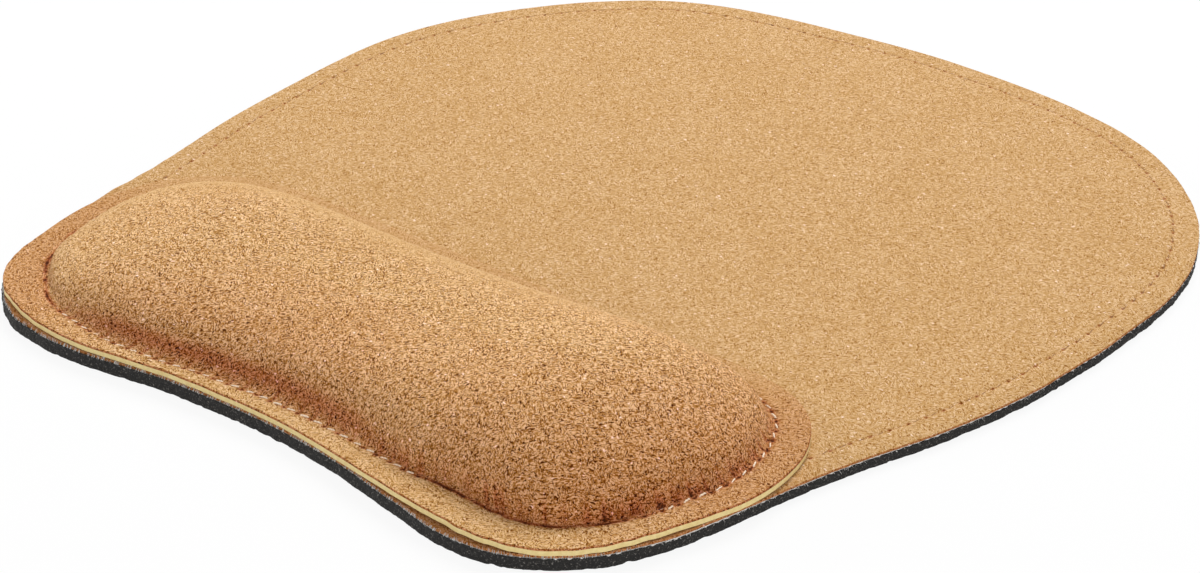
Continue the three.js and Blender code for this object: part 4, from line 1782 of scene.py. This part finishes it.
    def build_cushion(self) -> None:
        """Builds the filling, which fits the inside of the cover and lies on the base sheet."""
        base = box_mm("rest_base_sheet")[1].z
        shares, inset = self.shares[::6], self.foot_inset_mm + self.cover_mm + 1.0
        rings = [with_height(self.line.moved(shares, -inset - 0.3), base + 0.02)]
        for share_in in np.linspace(0, 1, 14) ** 1.5 * 0.97:
            spot = self.dome(shares, 1 - share_in, inset)
            spot[:, 2] = np.maximum(base + 0.04, base - 0.7 + spot[:, 2])
            rings.append(spot)
        piece = Piece("rest_cushion")
        piece.add_rings(rings, None, (True, False))
        cushion = piece.build(CUSHION_FOAM.make(), "cushion_foam", ["rest_cushion_core"])
        swell(cushion, cell_mm=4.5, cap_mm=0.5)

    def stitch_height(self, shares: np.ndarray) -> np.ndarray:
        """Height of the needle stitches, which are sunk where only a crease shows."""
        sunk = self.buried_sink_mm * read_table(self.buried_share, shares)
        return self.flange_top - self.needle_sink_mm - sunk

    def build_threads(self) -> None:
        """Builds the pale needle stitches round the seam."""
        piece = Piece("rest_needle_stitches")
        self.seam.add_to(piece, self.stitch_height, self.needle_dip_mm)
        finish = PALE_THREAD.make()
        piece.build(finish, "pale_thread", ["rest_needle_thread"], NEVER_CRISP)

    def dress(self, node: str, finish: Finish) -> None:
        """Gives a CAD solid that stays its finish.

        Args:
            node: Name of the CAD node.
            finish: The finish.
        """
        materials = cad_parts[node].data.materials
        materials.clear()
        materials.append(finish.make())

    def build(self) -> None:
        """Builds every piece of the rest and dresses the two solids that stay."""
        self.build_base()
        self.build_backing()
        self.build_cushion()
        self.build_cover()
        self.build_threads()
        self.dress("rest_adhesive_sheet", ADHESIVE_FILM)
        self.dress("rest_bobbin_thread", PALE_THREAD)


def link_new(name: str, data: bpy.types.ID) -> bpy.types.Object:
    """Links a new object to the scene.

    Args:
        name: Name of the object.
        data: Its mesh, camera or lamp.

    Returns:
        The object.
    """
    thing = bpy.data.objects.new(name, data)
    bpy.context.scene.collection.objects.link(thing)
    return thing


def aim(thing: bpy.types.Object, at: Sequence[float], target: Sequence[float]) -> None:
    """Puts a camera or lamp in its place and turns it to a target."""
    thing.location = at
    thing.rotation_euler = (Vector(target) - Vector(at)).to_track_quat("-Z", "Y").to_euler()


@dataclass(frozen=True)
class Lamp:
    """A square soft lamp aimed at the middle of the pad."""

    name: str
    at: tuple[float, float, float]
    size: float
    watts: float

    def build(self) -> None:
        """Adds the lamp."""
        data = bpy.data.lights.new(self.name, "AREA")
        data.shape, data.size, data.energy = "SQUARE", self.size, self.watts
        aim(link_new(self.name, data), self.at, (0.0, 0.0, 0.0))


@dataclass(frozen=True)
class Studio:
    """The camera, the pale floor, the white surround and the soft lamps."""

    camera_at: tuple[float, float, float] = (0.38054, -0.45726, 0.29991)
    looks_at: tuple[float, float, float] = (0.0126, -0.0239, 0.0)
    lens_mm: float = 87.44
    sensor_mm: float = 36.0
    sky: float = 0.37
    floor_radius: float = 4.0
    floor_corners: int = 96
    floor_drop: float = 0.00002
    floor_grey: float = 0.82
    floor_glow: float = 0.9
    lamps: tuple[Lamp, ...] = (
        Lamp("Key", (-0.5, 1.25, 1.45), size=1.1, watts=39.5),
        Lamp("Fill", (0.95, -0.75, 0.4), size=0.8, watts=6.0),
        Lamp("Left fill", (-1.1, -0.25, 0.22), size=0.6, watts=5.5),
    )

    def build_camera(self) -> None:
        """Builds the camera at the photograph's place."""
        camera = link_new("Camera", bpy.data.cameras.new("Camera"))
        aim(camera, self.camera_at, self.looks_at)
        camera.data.sensor_width = self.sensor_mm
        camera.data.lens = self.lens_mm
        camera.data.clip_start, camera.data.clip_end = 0.01, 20
        bpy.context.scene.camera = camera

    def build_floor(self) -> None:
        """Builds a pale floor that looks white to the camera and keeps a soft shadow."""
        turns = np.arange(self.floor_corners) / self.floor_corners * TURN
        ring = np.column_stack([np.cos(turns), np.sin(turns), np.zeros(self.floor_corners)])
        ring = ring * self.floor_radius - [0, 0, self.floor_drop]
        mesh = bpy.data.meshes.new("floor")
        mesh.from_pydata(ring.tolist(), [], [list(range(self.floor_corners))])
        floor = link_new("floor", mesh)
        material = bpy.data.materials.new("Floor")
        material.use_nodes = True
        material.node_tree.nodes.clear()
        board = Board(material.node_tree)
        grey = (self.floor_grey,) * 3
        diffuse = board.add("ShaderNodeBsdfDiffuse", {"Color": grey}).outputs[0]
        glow = board.add("ShaderNodeEmission", {"Color": WHITE, "Strength": 1.0}).outputs[0]
        share = board.math("MULTIPLY", board.backdrop_rays(), self.floor_glow)
        mix = board.add("ShaderNodeMixShader", {0: share, 1: diffuse, 2: glow}).outputs[0]
        board.add("ShaderNodeOutputMaterial", {"Surface": mix})
        mesh.materials.append(material)

    def build_sky(self) -> None:
        """Builds a white surround that is dimmer as light than it looks."""
        world = bpy.data.worlds.new("Surround")
        bpy.context.scene.world = world
        world.use_nodes = True
        world.node_tree.nodes.clear()
        board = Board(world.node_tree)
        strength = board.math("MULTIPLY_ADD", board.backdrop_rays(), 1.0 - self.sky, self.sky)
        shade = board.add("ShaderNodeBackground", {"Color": WHITE, "Strength": strength})
        board.add("ShaderNodeOutputWorld", {"Surface": shade.outputs[0]})

    def build(self) -> None:
        """Builds the whole studio."""
        self.build_camera()
        self.build_floor()
        self.build_sky()
        for lamp in self.lamps:
            lamp.build()
        bpy.context.scene.view_settings.view_transform = "Standard"


def main() -> None:
    """Builds the studio and the object."""
    logging.basicConfig(level=logging.INFO, format="%(name)s: %(message)s")
    Studio().build()
    PadLaminate().build()
    WristRest().build()


if __name__ == "__main__":
    main()
